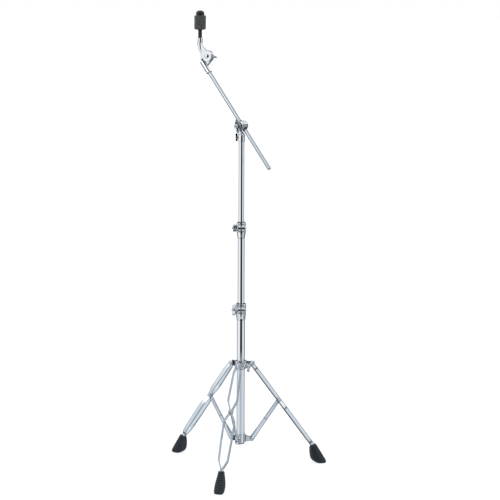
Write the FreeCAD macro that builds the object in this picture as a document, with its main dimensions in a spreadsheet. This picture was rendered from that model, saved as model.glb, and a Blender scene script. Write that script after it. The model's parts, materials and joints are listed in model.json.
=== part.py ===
import FreeCAD, Part
import math
import os
import Sketcher
from FreeCAD import Matrix, Placement, Rotation, Vector

# Cymbal boom stand. Millimetres and degrees, +Z up. The origin is on the floor, on the axis of
# the column. -Y is the front of the stand. The boom leans away to the left, in a vertical plane
# turned from the XZ plane.

DIMENSIONS = [
    # column tubes: outer and inner diameter, lower and upper end
    ("base_od", 28.6), ("base_id", 25.6), ("base_low", 88), ("base_high", 546),
    ("mid_od", 24), ("mid_id", 21.2), ("mid_low", 402), ("mid_high", 836),
    ("up_od", 20), ("up_id", 17.2), ("up_low", 722), ("up_high", 1172),
    # diametral fit of castings, radial gap of nylon parts
    ("fit", 0.04), ("bush_gap", 0.05),
    # height clamps: lower end, radii of the ring going up, ears and their bolt
    ("base_clamp_low", 521), ("mid_clamp_low", 808), ("clamp_tall", 57),
    ("base_cup_bottom", 15.7), ("base_cup_mid", 17.4), ("base_cup_top", 18.4),
    ("mid_cup_bottom", 13.3), ("mid_cup_mid", 16.2), ("mid_cup_top", 16.6),
    ("ear_radius", 12.5), ("ear_thick", 9.5), ("slit", 2.6),
    ("base_bolt_fwd", 26), ("mid_bolt_fwd", 23.5), ("bolt_up", 40), ("bolt_dia", 7.8),
    # leg linkage: pivot radius and lower pivot height, pivot pitch, slope of the legs
    ("hub_r", 40), ("low_pivot_z", 99.2), ("arm", 165.6), ("fold", 53.5),
    ("pin_dia", 6), ("pin_gap", 0.2), ("lug_thick", 9), ("lug_r", 7.6),
    ("strip_wide", 15), ("strip_t", 4), ("brace_t", 2),
    # half gaps between a pair of strips at the lug, at the waist rivet and in the foot
    ("strip_gap", 4.9), ("waist", 2.4), ("toe_gap", 0.6),
    ("channel_deep", 1.5), ("channel_wide", 9),
    ("leg_len", 394), ("foot_hole", 379), ("brace_rivet", 0.52), ("foot_wide", 37),
    # collars: radius, height, share of the height below the pivots
    ("low_ring_r", 18.6), ("low_ring_tall", 27), ("low_ring_below", 0.3),
    ("up_ring_r", 20.6), ("up_ring_tall", 27), ("up_ring_below", 0.55), ("liner_r", 16.6),
    # boom: rod ends are measured along the rod, drum and ear along the tilt axis
    ("tilt_z", 1206.3), ("rod_dia", 12.7), ("rod_off", -4.5), ("rod_low", -185),
    ("rod_high", 274), ("rod_clear", 1.5), ("lean", 38.5), ("turn", 235),
    ("drum_r", 17), ("drum_bore_r", 12.2), ("drum_end", -16), ("drum_face", 8),
    ("ear_inner", 8.2), ("ear_outer", 18), ("tilter_ear_r", 15.5),
    ("cup_r", 12.3), ("cup_low", 1150), ("cup_high", 1179), ("screw_up", 14),
    # cymbal tilter
    ("socket_low", 232), ("socket_high", 284), ("socket_r", 10),
    ("hinge_along", 282.2), ("hinge_off", 32.3),
    ("disc_r", 20), ("disc_thick", 9.6), ("disc_gap", 0.3),
    ("post_off", -36.8), ("post_sock_r", 9.3), ("post_sock_high", 64.3),
    # cymbal seat: heights along the post; the felts meet at the gap
    ("post_dia", 8), ("sleeve_r", 6.9), ("felt_r", 20.8), ("felt_hole", 7.1), ("felt_low", 96),
    ("gap_low", 120.2), ("gap_high", 120.7), ("felt_high", 145.6),
    ("nut_r", 15), ("nut_high", 163.5),
]

# name, direction from the column, side facing clockwise and side facing anticlockwise from above
LEGS = (
    ("right", 12.0, "front", "back"),
    ("left", 142.0, "back", "front"),
    ("front", 256.0, "left", "right"),
)

# Inner face of a leg strip: distance along the leg from the lug, distance from the leg's middle
LEG_INNER = [
    ("-8", "strip_gap"), ("9", "strip_gap"), ("22", "9.5"), ("arm-38", "14"),
    ("arm-9", "waist"), ("arm+7", "waist"), ("arm+33", "16.6"), ("arm+98", "16.2"),
    ("leg_len-55", "13.6"), ("leg_len-28", "toe_gap"), ("leg_len", "toe_gap"),
]
# bend radius at each corner of that line, its two ends left out
LEG_BENDS = [5, 34, 34, 5, 5, 34, 60, 34, 5]
# the same two columns for a brace strip
BRACE_INNER = [("-7", "strip_gap"), ("12", "strip_gap"), ("46", "0.05"), ("arm+7", "0.05")]

# Side view of a foot: distance from the column, height
FOOT_SIDE = [
    (281, 0), (306.5, 0), (312.5, 6.5), (276.5, 65.5), (269.5, 69),
    (252.5, 59.5), (250.8, 52), (253.5, 24), (260, 12),
]
FOOT_GROOVES = 8

# Stem of the cymbal post socket: height, offset of its centre from the post, radius
STEM = [
    ("post_sock_high", 0, "post_sock_r"), (42, 1.9, 8.8), (30, 6.6 - 4.7 + 0, 8.8),
    (18, 6.6, 7.9), (7, 10.4, 7.1), (-16, 12.2, 6.6),
]
STEM[1] = (42, 0, 9.3)

LOCK_ANGLE = 317  # direction of the leg collar's wing bolt, between the right and front legs
NUT_BORE = 4.0  # bore radius of the wing nuts
X_AXIS, Z_AXIS = Vector(1, 0, 0), Vector(0, 0, 1)

doc = FreeCAD.newDocument("cymbal_boom_stand")
sheet = doc.addObject("Spreadsheet::Sheet", "Sheet")
for row, (name, value) in enumerate(DIMENSIONS, 1):
    sheet.set("A%d" % row, name.replace("_", " "))
    sheet.set("B%d" % row, repr(value))
    sheet.setAlias("B%d" % row, name)
doc.recompute()
size = {name: float(value) for name, value in DIMENSIONS}
pieces = []  # the objects that are written out


# ---------------------------------------------------------------- expressions of the sheet
def tokens(text):
    """Split an expression into names, numbers and signs."""
    found, word = [], ""
    for sign in str(text) + " ":
        if sign.isalnum() or sign in "_.":
            word += sign
            continue
        if word:
            found.append(word)
        word = ""
        if sign != " ":
            found.append(sign)
    return found


def linked(text):
    """The expression with its aliases turned into references to the sheet."""
    return "".join("Sheet." + word if word in size else word for word in tokens(text))


def driven(text):
    return any(word in size for word in tokens(text))


def val(text):
    """The value of an expression made of numbers, aliases, brackets and + - * /."""
    left = tokens(text) + [""]

    def atom():
        word = left.pop(0)
        if word == "(":
            result = total()
            left.pop(0)
            return result
        if word == "-":
            return -atom()
        if word == "+":
            return atom()
        return size[word] if word in size else float(word)

    def product():
        result = atom()
        while left[0] in ("*", "/"):
            if left.pop(0) == "*":
                result *= atom()
            else:
                result /= atom()
        return result

    def total():
        result = product()
        while left[0] in ("+", "-"):
            if left.pop(0) == "+":
                result += product()
            else:
                result -= product()
        return result

    return total()


def drive(thing, prop, expr):
    """Set a property and bind it to the sheet if the expression names an alias."""
    setattr(thing, prop, val(expr))
    if driven(expr):
        thing.setExpression(prop, linked(expr))


# ---------------------------------------------------------------- sketches and features
def body(label):
    part = doc.addObject("PartDesign::Body", label)
    pieces.append(part)
    return part


def sketch(part, plane, offset=None):
    """A sketch on the body's XY, XZ or YZ plane, or at an offset along its normal."""
    drawing = part.newObject("Sketcher::SketchObject", part.Name + "_sketch")
    support = next(f for f in part.Origin.OriginFeatures if f.Role == plane + "_Plane")
    drawing.AttachmentSupport = [(support, "")]
    drawing.MapMode = "FlatFace"
    if offset is not None:
        drawing.AttachmentOffset = Placement(Vector(0, 0, val(offset)), Rotation())
        drawing.setExpression("AttachmentOffset.Base.z", linked(offset))
    return drawing


def constrain(drawing, expr, *constraint):
    index = drawing.addConstraint(Sketcher.Constraint(*constraint, val(expr)))
    if driven(expr):
        drawing.setExpression("Constraints[%d]" % index, linked(expr))


def outline(part, plane, *loops, offset=None):
    """A sketch of closed loops of straight lines, every corner dimensioned from the origin."""
    drawing = sketch(part, plane, offset)
    for loop in loops:
        count = len(loop)
        corners = [Vector(val(x), val(y), 0) for x, y in loop]
        first = drawing.GeometryCount
        for i in range(count):
            drawing.addGeometry(Part.LineSegment(corners[i], corners[(i + 1) % count]), False)
        for i in range(count):
            following = first + (i + 1) % count
            drawing.addConstraint(
                Sketcher.Constraint("Coincident", first + i, 2, following, 1))
        for i, (x, y) in enumerate(loop):
            constrain(drawing, x, "DistanceX", -1, 1, first + i, 1)
            constrain(drawing, y, "DistanceY", -1, 1, first + i, 1)
    return drawing


def circles(part, plane, centres, radius, offset=None):
    """A sketch of equal circles."""
    drawing = sketch(part, plane, offset)
    for x, y in centres:
        ring = Part.Circle(Vector(val(x), val(y), 0), Z_AXIS, val(radius))
        index = drawing.addGeometry(ring, False)
        constrain(drawing, x, "DistanceX", -1, 1, index, 3)
        constrain(drawing, y, "DistanceY", -1, 1, index, 3)
        constrain(drawing, radius, "Radius", index)
    return drawing


def extrude(part, kind, drawing, length, mid, back=False):
    feature = part.newObject("PartDesign::" + kind, part.Name + "_" + kind.lower())
    feature.Profile = drawing
    drive(feature, "Length", length)
    feature.Midplane = mid
    feature.Reversed = back
    doc.recompute()


def pad(part, drawing, length, mid=False):
    extrude(part, "Pad", drawing, length, mid)


def need_less(part, before):
    if part.Shape.Volume > before - 0.01:
        raise RuntimeError("nothing is cut from " + part.Label)


def cut(part, drawing, length, mid=True, back=False):
    before = part.Shape.Volume
    extrude(part, "Pocket", drawing, length, mid, back)
    need_less(part, before)


def revolve(part, drawing, axis, kind="Revolution"):
    feature = part.newObject("PartDesign::" + kind, part.Name + "_turned")
    feature.Profile = drawing
    feature.ReferenceAxis = (drawing, [axis])
    feature.Angle = 360
    doc.recompute()


def groove(part, drawing, axis):
    before = part.Shape.Volume
    revolve(part, drawing, axis, "Groove")
    need_less(part, before)


def turned(label, profile, place=None):
    """A body turned about Z from a half outline of (radius, height)."""
    part = body(label)
    revolve(part, outline(part, "XZ", profile), "V_Axis")
    if place is not None:
        part.Placement = place
    return part


def soften(part, chosen, radius):
    """Round the chosen edges."""
    base = part.Tip
    edges = ["Edge%d" % i for i, edge in enumerate(base.Shape.Edges, 1) if chosen(edge)]
    if not edges:
        raise RuntimeError("no edge to soften in " + part.Label)
    fillet = part.newObject("PartDesign::Fillet", part.Name + "_soft")
    fillet.Base = (base, edges)
    # a shape may be too tight for the full radius: smaller ones follow, then sharp edges
    for share in (1.0, 0.6, 0.3):
        fillet.Radius = radius * share
        doc.recompute()
        shape = fillet.Shape
        if ("Invalid" not in fillet.State and not shape.isNull() and shape.isValid()
                and len(shape.Solids) == 1):
            return
    part.removeObject(fillet)
    doc.removeObject(fillet.Name)
    part.Tip = base
    doc.recompute()


def start(edge):
    return edge.Vertexes[0].Point


def straight(edge, axis):
    """Whether the edge is a line along axis 0, 1 or 2."""
    if len(edge.Vertexes) != 2 or edge.Curve.TypeId != "Part::GeomLine":
        return False
    span = edge.Vertexes[1].Point - start(edge)
    return abs(abs(span[axis]) - span.Length) < 1e-6


def round_of(edge, radius):
    return edge.Curve.TypeId == "Part::GeomCircle" and abs(edge.Curve.Radius - radius) < 0.01


# ---------------------------------------------------------------- placing and joining
def at(x=0, y=0, z=0):
    return Placement(Vector(x, y, z), Rotation())


def facing(base, axis, spin=0):
    """Local Z along an axis, after a spin about it."""
    return Placement(base, Rotation(Z_AXIS, axis) * Rotation(Z_AXIS, spin))


def raise_to(part, expr):
    """Lift a body to a height bound to the sheet."""
    part.Placement = at(0, 0, val(expr))
    part.setExpression("Placement.Base.z", linked(expr))


def consume(parts):
    """Take parts that go into another object off the list of pieces."""
    for part in parts:
        if part in pieces:
            pieces.remove(part)


def rod_between(label, begin, end, radius):
    rod = doc.addObject("Part::Cylinder", label)
    drive(rod, "Radius", radius)
    rod.Height = (end - begin).Length
    rod.Placement = Placement(begin, Rotation(Z_AXIS, end - begin))
    return rod


def box(label, length, width, height, place):
    block = doc.addObject("Part::Box", label)
    drive(block, "Length", length)
    drive(block, "Width", width)
    drive(block, "Height", height)
    block.Placement = place
    return block


def boolean(kind, label, base, tool, final=False):
    """A Cut or Fuse of two objects; a final one is a piece."""
    result = doc.addObject("Part::" + kind, label)
    result.Base, result.Tool = base, tool
    doc.recompute()
    consume([base, tool])
    if final:
        pieces.append(result)
    return result


def fused(label, parts):
    result = doc.addObject("Part::MultiFuse", label)
    result.Shapes = parts
    doc.recompute()
    consume(parts)
    return result


def compound(label, parts):
    """Several parts written out as one piece."""
    result = doc.addObject("Part::Compound", label)
    result.Links = parts
    consume(parts)
    pieces.append(result)


# ---------------------------------------------------------------- column
def tube(label, key):
    outer, bore, tall = f"{key}_od/2", f"{key}_id/2", f"{key}_high-{key}_low"
    part = turned(label, [(bore, 0), (outer, 0), (outer, tall), (bore, tall)])
    soften(part, lambda edge: round_of(edge, val(outer)), 0.4)
    raise_to(part, f"{key}_low")


def base_plug():
    """Plug in the lower end of the base tube."""
    part = turned("base_tube_plug", [
        (0, -3), ("base_od/2-1", -3), ("base_od/2", -2), ("base_od/2", -0.05),
        ("base_id/2-0.1", -0.05), ("base_id/2-0.1", 14), ("base_id/2-2.5", 14),
        ("base_id/2-2.5", 2), (0, 2)])
    raise_to(part, "base_low")


def guide(label, key, around):
    """Ring under an inner tube that centres it in the tube around it, with a spigot inside."""
    bore, outer = f"{key}_id/2", f"{around}_id/2"
    part = turned(label, [
        (bore + "-3", -9), (outer + "-1.1", -9), (outer + "-0.1", -8), (outer + "-0.1", -0.05),
        (bore + "-0.05", -0.05), (bore + "-0.05", 12), (bore + "-1.6", 12), (bore + "-3", 10)])
    raise_to(part, f"{key}_low")


def bush(label, key, inside):
    """Nylon sleeve standing on a tube's end in the clamp, with a rim on top of the clamp."""
    outer, bore = f"{key}_od/2", f"{inside}_od/2+bush_gap"
    top = f"{key}_clamp_low+clamp_tall-{key}_high"
    part = turned(label, [
        (bore, 0.2), (outer + "-0.05", 0.2), (outer + "-0.05", top + "+0.2"),
        (outer + "+1.3", top + "+0.2"), (outer + "+1.3", top + "+1.4"),
        (outer + "+0.4", top + "+2.2"), (bore, top + "+2.2")])
    raise_to(part, f"{key}_high")


def clamp(label, key):
    """Clamp ring with two ears in front, and the bolt across them."""
    bore, forward = f"{key}_od/2+fit/2", f"-{key}_bolt_fwd"
    bottom, middle, top = (f"{key}_cup_{level}" for level in ("bottom", "mid", "top"))
    part = turned(label, [
        (bore, 0), (bottom + "-0.8", 0), (bottom, 0.8), (bottom, 5), (middle, 24), (top, 31),
        (top, "clamp_tall-2"), (top + "-1.6", "clamp_tall"), (bore, "clamp_tall")])
    # ears, joined to the ring by straight cheeks
    root = f"-{key}_od/2-1.2"
    cheeks = outline(part, "YZ", [
        (forward, "bolt_up-ear_radius"), (root, "bolt_up-ear_radius-4"),
        (root, "bolt_up+ear_radius+1"), (forward, "bolt_up+ear_radius")])
    pad(part, cheeks, "2*ear_thick+slit", mid=True)
    centre = [(forward, "bolt_up")]
    pad(part, circles(part, "YZ", centre, "ear_radius"), "2*ear_thick+slit", mid=True)
    # slit that lets the ears close, open to the front and the top
    slot = outline(part, "XZ", [
        ("-slit/2", 14), ("slit/2", 14), ("slit/2", "clamp_tall+2"), ("-slit/2", "clamp_tall+2")])
    cut(part, slot, 60, mid=False, back=True)
    cut(part, circles(part, "YZ", centre, "bolt_dia/2+0.1"), 80)
    # the ears and cheeks must not narrow the bore
    cut(part, circles(part, "XY", [(0, 0)], bore), 300)
    soften(part, lambda edge: round_of(edge, size["ear_radius"])
           and abs(start(edge).x) > size["slit"], 1.6)
    raise_to(part, f"{key}_clamp_low")

    # the domed head is on the right
    seat = "slit/2+ear_thick"
    bolt = turned(label + "_bolt", [
        (0, -33), ("bolt_dia/2-0.8", -33), ("bolt_dia/2", -32), ("bolt_dia/2", seat + "+0.1"),
        (10.5, seat + "+0.1"), (10.5, seat + "+2.6"), (8.6, seat + "+5"), (4.6, seat + "+6.6"),
        (0, seat + "+7")])
    bolt.Placement = Placement(
        Vector(0, val(forward), val(f"{key}_clamp_low+bolt_up")), Rotation(Vector(0, 1, 0), 90))


def wings(label, place, hub_r, hub_len, root, tip, reach,
          bore=NUT_BORE, curl=0.0, thick=5.2, shank=0.0, full=False):
    """A hub along +Z with two wings in the XZ plane.

    root and tip are the spans along Z where a wing leaves the hub and where it ends. With a
    shank length the hub is solid and bore is the shank's radius. A full wing has a sloping
    top edge, curl lowers the underside of the wing.
    """
    part = body(label)
    if shank:
        first = [(0, -shank), (bore - 0.7, -shank), (bore, -shank + 1), (bore, 0)]
        last = (0, hub_len)
    else:
        first = [(bore, 0)]
        last = (bore, hub_len)
    hub = first + [(hub_r - 0.8, 0), (hub_r, 0.8), (hub_r * 0.94, hub_len - 2),
                   (hub_r * 0.7, hub_len), last]
    revolve(part, outline(part, "XZ", hub), "V_Axis")

    root_low, root_high = root
    low, high = tip
    inner = max(bore + 1.2, hub_r * 0.62)
    if full:
        top = [(reach * 0.9, high + (root_high - high) * 0.3),
               (reach * 0.7, high + (root_high - high) * 0.74)]
    else:
        top = [(reach * 0.88, high), (reach * 0.66, high - 0.6)]
    wing = [
        (inner, root_low), (hub_r, root_low - 0.2), (reach * 0.62, low - curl - 1.2),
        (reach * 0.86, low - 0.5), (reach, low + (high - low) * 0.3),
        (reach, low + (high - low) * 0.72), *top,
        (hub_r + 1.2, root_high + 0.6), (inner, root_high)]
    pair = [[(side * x, z) for x, z in wing] for side in (1, -1)]
    pad(part, outline(part, "XZ", *pair), thick, mid=True)
    soften(part, lambda edge: straight(edge, 1) and abs(start(edge).x) > reach * 0.55, 1.8)
    part.Placement = place


def clamp_nut(label, key, spin, **shape):
    """Wing nut on the left end of a clamp's bolt."""
    base = Vector(-val("slit/2+ear_thick") - 0.15, -size[f"{key}_bolt_fwd"],
                  val(f"{key}_clamp_low+bolt_up"))
    wings(label, facing(base, -X_AXIS, spin), hub_r=8, **shape)


# ---------------------------------------------------------------- tripod
fold_cos = math.cos(math.radians(size["fold"]))
fold_sin = math.sin(math.radians(size["fold"]))
top_pivot_z = size["low_pivot_z"] + 2 * size["arm"] * fold_sin


def directions(angle):
    """Unit vectors outwards and anticlockwise round the column."""
    turned_by = math.radians(angle)
    cosine, sine = math.cos(turned_by), math.sin(turned_by)
    return Vector(cosine, sine, 0), Vector(-sine, cosine, 0)


def frame(x, y, z, base):
    """Placement with the given local axes."""
    return Placement(Matrix(x.x, y.x, z.x, base.x, x.y, y.y, z.y, base.y,
                            x.z, y.z, z.z, base.z, 0, 0, 0, 1))


def pin_frame(angle, radius, height):
    """Frame of a pin: X outwards, Y up, Z across the leg."""
    outward, across = directions(angle)
    return frame(outward, Z_AXIS, across * -1, outward * radius + Z_AXIS * height)


def member_frame(angle, slope, height):
    """Frame of a leg or brace at its lug: X along it, Y across it."""
    outward, across = directions(angle)
    tilt = math.radians(slope)
    along = outward * math.cos(tilt) + Z_AXIS * math.sin(tilt)
    base = outward * size["hub_r"] + Z_AXIS * height
    return frame(along, across, along.cross(across), base)


def lugged_collar(label, key, bore, height, drop, rise, final):
    """A ring with a drilled lug towards each leg; its local Z=0 is the height of the pivots.

    drop and rise are the shares of the ring's height that a lug's root takes up.
    """
    radius, tall = f"{key}_r", f"{key}_tall"
    bottom, top = f"-{tall}*{key}_below", f"{tall}*(1-{key}_below)"
    ring = turned(label + "_ring", [
        (bore, bottom), (radius + "-1", bottom), (radius, bottom + "+1"),
        (radius, top + "-1"), (radius + "-1", top), (bore, top)])
    ring.Placement = Placement(Z_AXIS * height, Rotation(Z_AXIS, LEGS[0][1]))
    parts, drills = [ring], []
    for name, angle, *_ in LEGS:
        lug = body(f"{label}_{name}_lug")
        web = outline(lug, "XZ", [
            (radius + "-1", f"-{tall}*{drop}"), ("hub_r-4", "-lug_r"), ("hub_r", "-lug_r"),
            ("hub_r", "lug_r"), ("hub_r-4", "lug_r"), (radius + "-1", f"{tall}*{rise}")])
        pad(lug, web, "lug_thick", mid=True)
        pad(lug, circles(lug, "XZ", [("hub_r", 0)], "lug_r"), "lug_thick", mid=True)
        lug.Placement = Placement(Z_AXIS * height, Rotation(Z_AXIS, angle))
        parts.append(lug)
        outward, across = directions(angle)
        centre = outward * size["hub_r"] + Z_AXIS * height
        drills.append(rod_between(f"{label}_{name}_drill", centre - across * 15,
                                  centre + across * 15, "pin_dia/2+0.05"))
    blank = fused(label + "_blank", parts)
    return boolean("Cut", label, blank, fused(label + "_drills", drills), final)


def leg_collar():
    """Sliding collar with a boss for its wing bolt, its nylon liner and the wing bolt."""
    outward, _ = directions(LOCK_ANGLE)
    level = Z_AXIS * (top_pivot_z - 1)
    hole_r = "bolt_dia/2+0.1"

    casting = lugged_collar("leg_collar_casting", "up_ring", "liner_r+fit/2", top_pivot_z,
                            drop=0.42, rise=0.34, final=False)
    boss = rod_between("leg_collar_boss", outward * (size["up_ring_r"] - 2.5) + level,
                       outward * 31 + level, 9)
    whole = boolean("Fuse", "leg_collar_body", casting, boss)
    hole = rod_between("leg_collar_bolt_hole", outward * 12 + level, outward * 40 + level, hole_r)
    boolean("Cut", "leg_collar", whole, hole, final=True)

    bore, bottom = "base_od/2+bush_gap", "-up_ring_tall*up_ring_below"
    top = "up_ring_tall*(1-up_ring_below)+0.5"
    sleeve = turned("leg_collar_liner_sleeve", [
        (bore, bottom + "-1.6"), ("liner_r+1.4", bottom + "-1.6"),
        ("liner_r+1.4", bottom + "-0.1"), ("liner_r", bottom + "-0.1"),
        ("liner_r", top), (bore, top)], at(0, 0, top_pivot_z))
    hole = rod_between("liner_hole", outward * 12 + level, outward * 22 + level, hole_r)
    boolean("Cut", "leg_collar_liner", sleeve, hole, final=True)

    wings("leg_collar_wing_bolt", facing(outward * 31.3 + level, outward, 90),
          hub_r=7.5, hub_len=14, root=(3.5, 12), tip=(13, 24), reach=23.5,
          bore=size["bolt_dia"] / 2, shank=16.6, curl=1.5)


def rivet(label, place, grip, head=5.2, tall=2.2):
    """A shank along Z with a domed head at both ends; grip is half the length between them."""
    return turned(label, [
        (0, f"-({grip})-{tall}"), (head * 0.55, f"-({grip})-{tall}"), (head, f"-({grip})-0.5"),
        (head, f"-({grip})"), ("pin_dia/2", f"-({grip})"), ("pin_dia/2", f"({grip})"),
        (head, f"({grip})"), (head, f"({grip})+0.5"), (head * 0.55, f"({grip})+{tall}"),
        (0, f"({grip})+{tall}")], place)


def collar_pins(label, height, grip):
    compound(label, [
        rivet(f"{label}_{number}", pin_frame(leg[1], size["hub_r"], height), grip)
        for number, leg in enumerate(LEGS, 1)])


def swept(path, radii):
    """The line with every inner corner replaced by short chords along a bend."""
    line = [path[0]]
    for before, corner, after, radius in zip(path, path[1:], path[2:], radii):
        here = Vector(val(corner[0]), val(corner[1]), 0)
        back = Vector(val(before[0]), val(before[1]), 0) - here
        ahead = Vector(val(after[0]), val(after[1]), 0) - here
        run = radius * math.tan((math.pi - back.getAngle(ahead)) / 2)
        if radius > 20:
            # wide bends must not overlap their neighbours
            run = min(run, 0.49 * min(back.Length, ahead.Length))
        chords = 5 if radius > 20 else 2
        for k in range(chords + 1):
            share = k / chords
            to_back = run / back.Length * (1 - share) ** 2
            to_ahead = run / ahead.Length * share * share
            line.append(tuple(
                "(%s)*%.6f+(%s)*%.6f+(%s)*%.6f" % (
                    corner[i], 1 - to_back - to_ahead, before[i], to_back, after[i], to_ahead)
                for i in (0, 1)))
    return line + [path[-1]]


def shifted(line, sign, extra=""):
    """The line moved away from the middle, on the side that sign ("" or "-") gives."""
    return [(x, f"{sign}({y}{extra})") for x, y in line]


def strip_blank(label, inner, thick, wide, sign):
    part = body(label)
    loop = shifted(inner, sign) + shifted(inner[::-1], sign, "+" + thick)
    pad(part, outline(part, "XY", loop), wide, mid=True)
    return part


def drill_strip(part, holes):
    cut(part, circles(part, "XZ", [(x, 0) for x in holes], "pin_dia/2+0.1"), 120)


def round_nose(part, ends, wide, radius):
    """Round the corners of a strip at the given ends."""
    soften(part, lambda edge: straight(edge, 1)
           and abs(abs(start(edge).z) - wide / 2) < 1e-4
           and any(abs(start(edge).x - x) < 1e-4 for x in ends), radius)


def leg_strip(label, sign, place):
    """Pressed strip with a channel along its outer face."""
    inner = swept(LEG_INNER, LEG_BENDS)
    part = strip_blank(label, inner, "strip_t", "strip_wide", sign)
    channel = inner[1:-2]
    loop = (shifted(channel, sign, "+strip_t-channel_deep")
            + shifted(channel[::-1], sign, "+strip_t+2"))
    cut(part, outline(part, "XY", loop), "channel_wide")
    drill_strip(part, [0, "arm", "foot_hole"])
    round_nose(part, [val(inner[0][0])], size["strip_wide"], 6.8)
    part.Placement = place


def brace_strip(label, sign, place):
    part = strip_blank(label, BRACE_INNER, "brace_t", "strip_wide-1", sign)
    drill_strip(part, [0, "arm*brace_rivet", "arm"])
    wide = val("strip_wide-1")
    round_nose(part, [val(BRACE_INNER[0][0]), val(BRACE_INNER[-1][0])], wide, 6.6)
    bends = [val(x) for x, _ in BRACE_INNER[1:-1]]
    soften(part, lambda edge: straight(edge, 2) and abs(edge.Length - wide) < 0.01
           and min(abs(start(edge).x - x) for x in bends) < 1e-3, 6.0)
    part.Placement = place


def leg(name, angle, clockwise, anticlockwise):
    """The strips and rivets of one leg and its brace."""
    leg_place = member_frame(angle, -size["fold"], top_pivot_z)
    brace_place = member_frame(angle, size["fold"], size["low_pivot_z"])
    for sign, side in (("", anticlockwise), ("-", clockwise)):
        leg_strip(f"{name}_leg_{side}_strip", sign, leg_place)
        brace_strip(f"{name}_brace_{side}_strip", sign, brace_place)

    def on_leg(along):
        return pin_frame(angle, size["hub_r"] + along * fold_cos, top_pivot_z - along * fold_sin)

    waist = rivet(f"{name}_leg_waist_rivet", on_leg(size["arm"]), "waist+strip_t+pin_gap",
                  head=5.4, tall=2.4)
    toe = turned(f"{name}_leg_foot_rivet",
                 [(0, -4.7), ("pin_dia/2", -4.7), ("pin_dia/2", 4.7), (0, 4.7)],
                 on_leg(size["foot_hole"]))
    compound(f"{name}_leg_rivets", [waist, toe])

    along = val("arm*brace_rivet")
    place = pin_frame(angle, size["hub_r"] + along * fold_cos,
                      size["low_pivot_z"] + along * fold_sin)
    rivet(f"{name}_brace_rivet", place, "0.05+brace_t+0.1", head=4.6, tall=1.8)


def foot_edge(edge):
    """Edges on one flank of a foot, towards its outer face and clear of the sole."""
    if len(edge.Vertexes) != 2:
        return False
    one, two = (vertex.Point for vertex in edge.Vertexes)
    return (all(abs(p.y) > 10 and p.x > 255 and p.z >= 1 for p in (one, two))
            and abs(one.y - two.y) < 12 and (one.y > 0) == (two.y > 0)
            and not straight(edge, 0))


def foot(name, angle):
    """Ribbed rubber wedge: local X outwards, Y across the leg."""
    around = Rotation(Z_AXIS, angle)
    part = body(f"{name}_foot")
    pad(part, outline(part, "XZ", FOOT_SIDE), "foot_wide", mid=True)
    # the sides taper towards the top
    for side in (1, -1):
        flank = outline(part, "YZ", [
            (f"{side}*foot_wide/2", 24), (f"{side}*(foot_wide/2+6)", 24),
            (f"{side}*(foot_wide/2+6)", 80), (side * 10.6, 80), (side * 10.8, 66)])
        cut(part, flank, 900)
    soften(part, foot_edge, 3.0)
    part.Placement = Placement(Vector(), around)

    # socket for the two leg strips
    inset = at(val("leg_len-59.4"), -val("toe_gap+strip_t+0.2"), -val("strip_wide/2+0.2"))
    socket = box(f"{name}_foot_socket", 60, "2*(toe_gap+strip_t)+0.4", "strip_wide+0.4",
                 member_frame(angle, -size["fold"], top_pivot_z) * inset)
    shell = boolean("Cut", f"{name}_foot_shell", part, socket)

    # level grooves that leave ribs on the sloping outer face
    grooves = []
    for k in range(FOOT_GROOVES):
        climb = 7 + 6.9 * k
        place = Placement(Vector(), around) * at(312.8 - 0.6102 * climb, -30, 1 + 0.9 * climb)
        grooves.append(box(f"{name}_foot_groove_{k + 1}", 26, 60, 2, place))
    boolean("Cut", f"{name}_rubber_foot", shell, fused(f"{name}_foot_grooves", grooves),
            final=True)


# ---------------------------------------------------------------- boom tilter
# In all three frames local X is the tilt axis. Z is the column in base_at, the rod in boom_at
# and the cymbal post in post_at.
turn = Rotation(Z_AXIS, size["turn"])
base_at = Placement(Vector(0, 0, size["tilt_z"]), turn)
boom_at = Placement(base_at.Base, turn * Rotation(X_AXIS, size["lean"]))
rod_at = boom_at * at(size["rod_off"])
hinge = (boom_at * at(0, size["hinge_off"], size["hinge_along"])).Base
tilt_axis = boom_at.Rotation.multVec(X_AXIS)
post_at = Placement(hinge, turn)
seat_at = post_at * at(size["rod_off"], size["post_off"], 0)
screw_z = val("cup_low+screw_up")


def tilter_base():
    """Cup on the upper tube, with a neck up to the ear beside the drum."""
    cup = turned("tilter_cup", [
        (0, "up_high-tilt_z+0.1"), ("up_od/2+fit/2", "up_high-tilt_z+0.1"),
        ("up_od/2+fit/2", "cup_low-tilt_z"), ("cup_r-0.6", "cup_low-tilt_z"),
        ("cup_r", "cup_low-tilt_z+0.8"), ("cup_r", "cup_high-tilt_z-5"),
        ("cup_r-3.5", "cup_high-tilt_z"), (0, "cup_high-tilt_z+1")])
    neck = outline(cup, "XZ", [
        (-7, "cup_high-tilt_z-5"), (11, "cup_high-tilt_z-7"), ("ear_outer", "-tilter_ear_r-3"),
        ("ear_outer", 0), ("ear_inner", 0), ("ear_inner", "-tilter_ear_r-1.2"),
        (-6, "cup_high-tilt_z-1")])
    pad(cup, neck, 15, mid=True)
    ear = circles(cup, "YZ", [(0, 0)], "tilter_ear_r", offset="ear_inner")
    pad(cup, ear, "ear_outer-ear_inner")
    cut(cup, circles(cup, "YZ", [(0, 0)], "bolt_dia/2+0.1"), 80)
    soften(cup, lambda edge: round_of(edge, size["tilter_ear_r"])
           and abs(start(edge).x - size["ear_outer"]) < 1e-3 and edge.Length > 20, 1.2)
    cup.Placement = base_at

    # boss for the screw, on the -X side of the stand
    boss = rod_between("tilter_base_boss", Vector(-10.6, 0, screw_z),
                       Vector(-13.5, 0, screw_z), 5.5)
    solid = boolean("Fuse", "tilter_base_solid", cup, boss)
    hole = rod_between("tilter_base_hole", Vector(-9, 0, screw_z), Vector(-22, 0, screw_z), 2.6)
    boolean("Cut", "boom_tilter_base", solid, hole, final=True)


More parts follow.
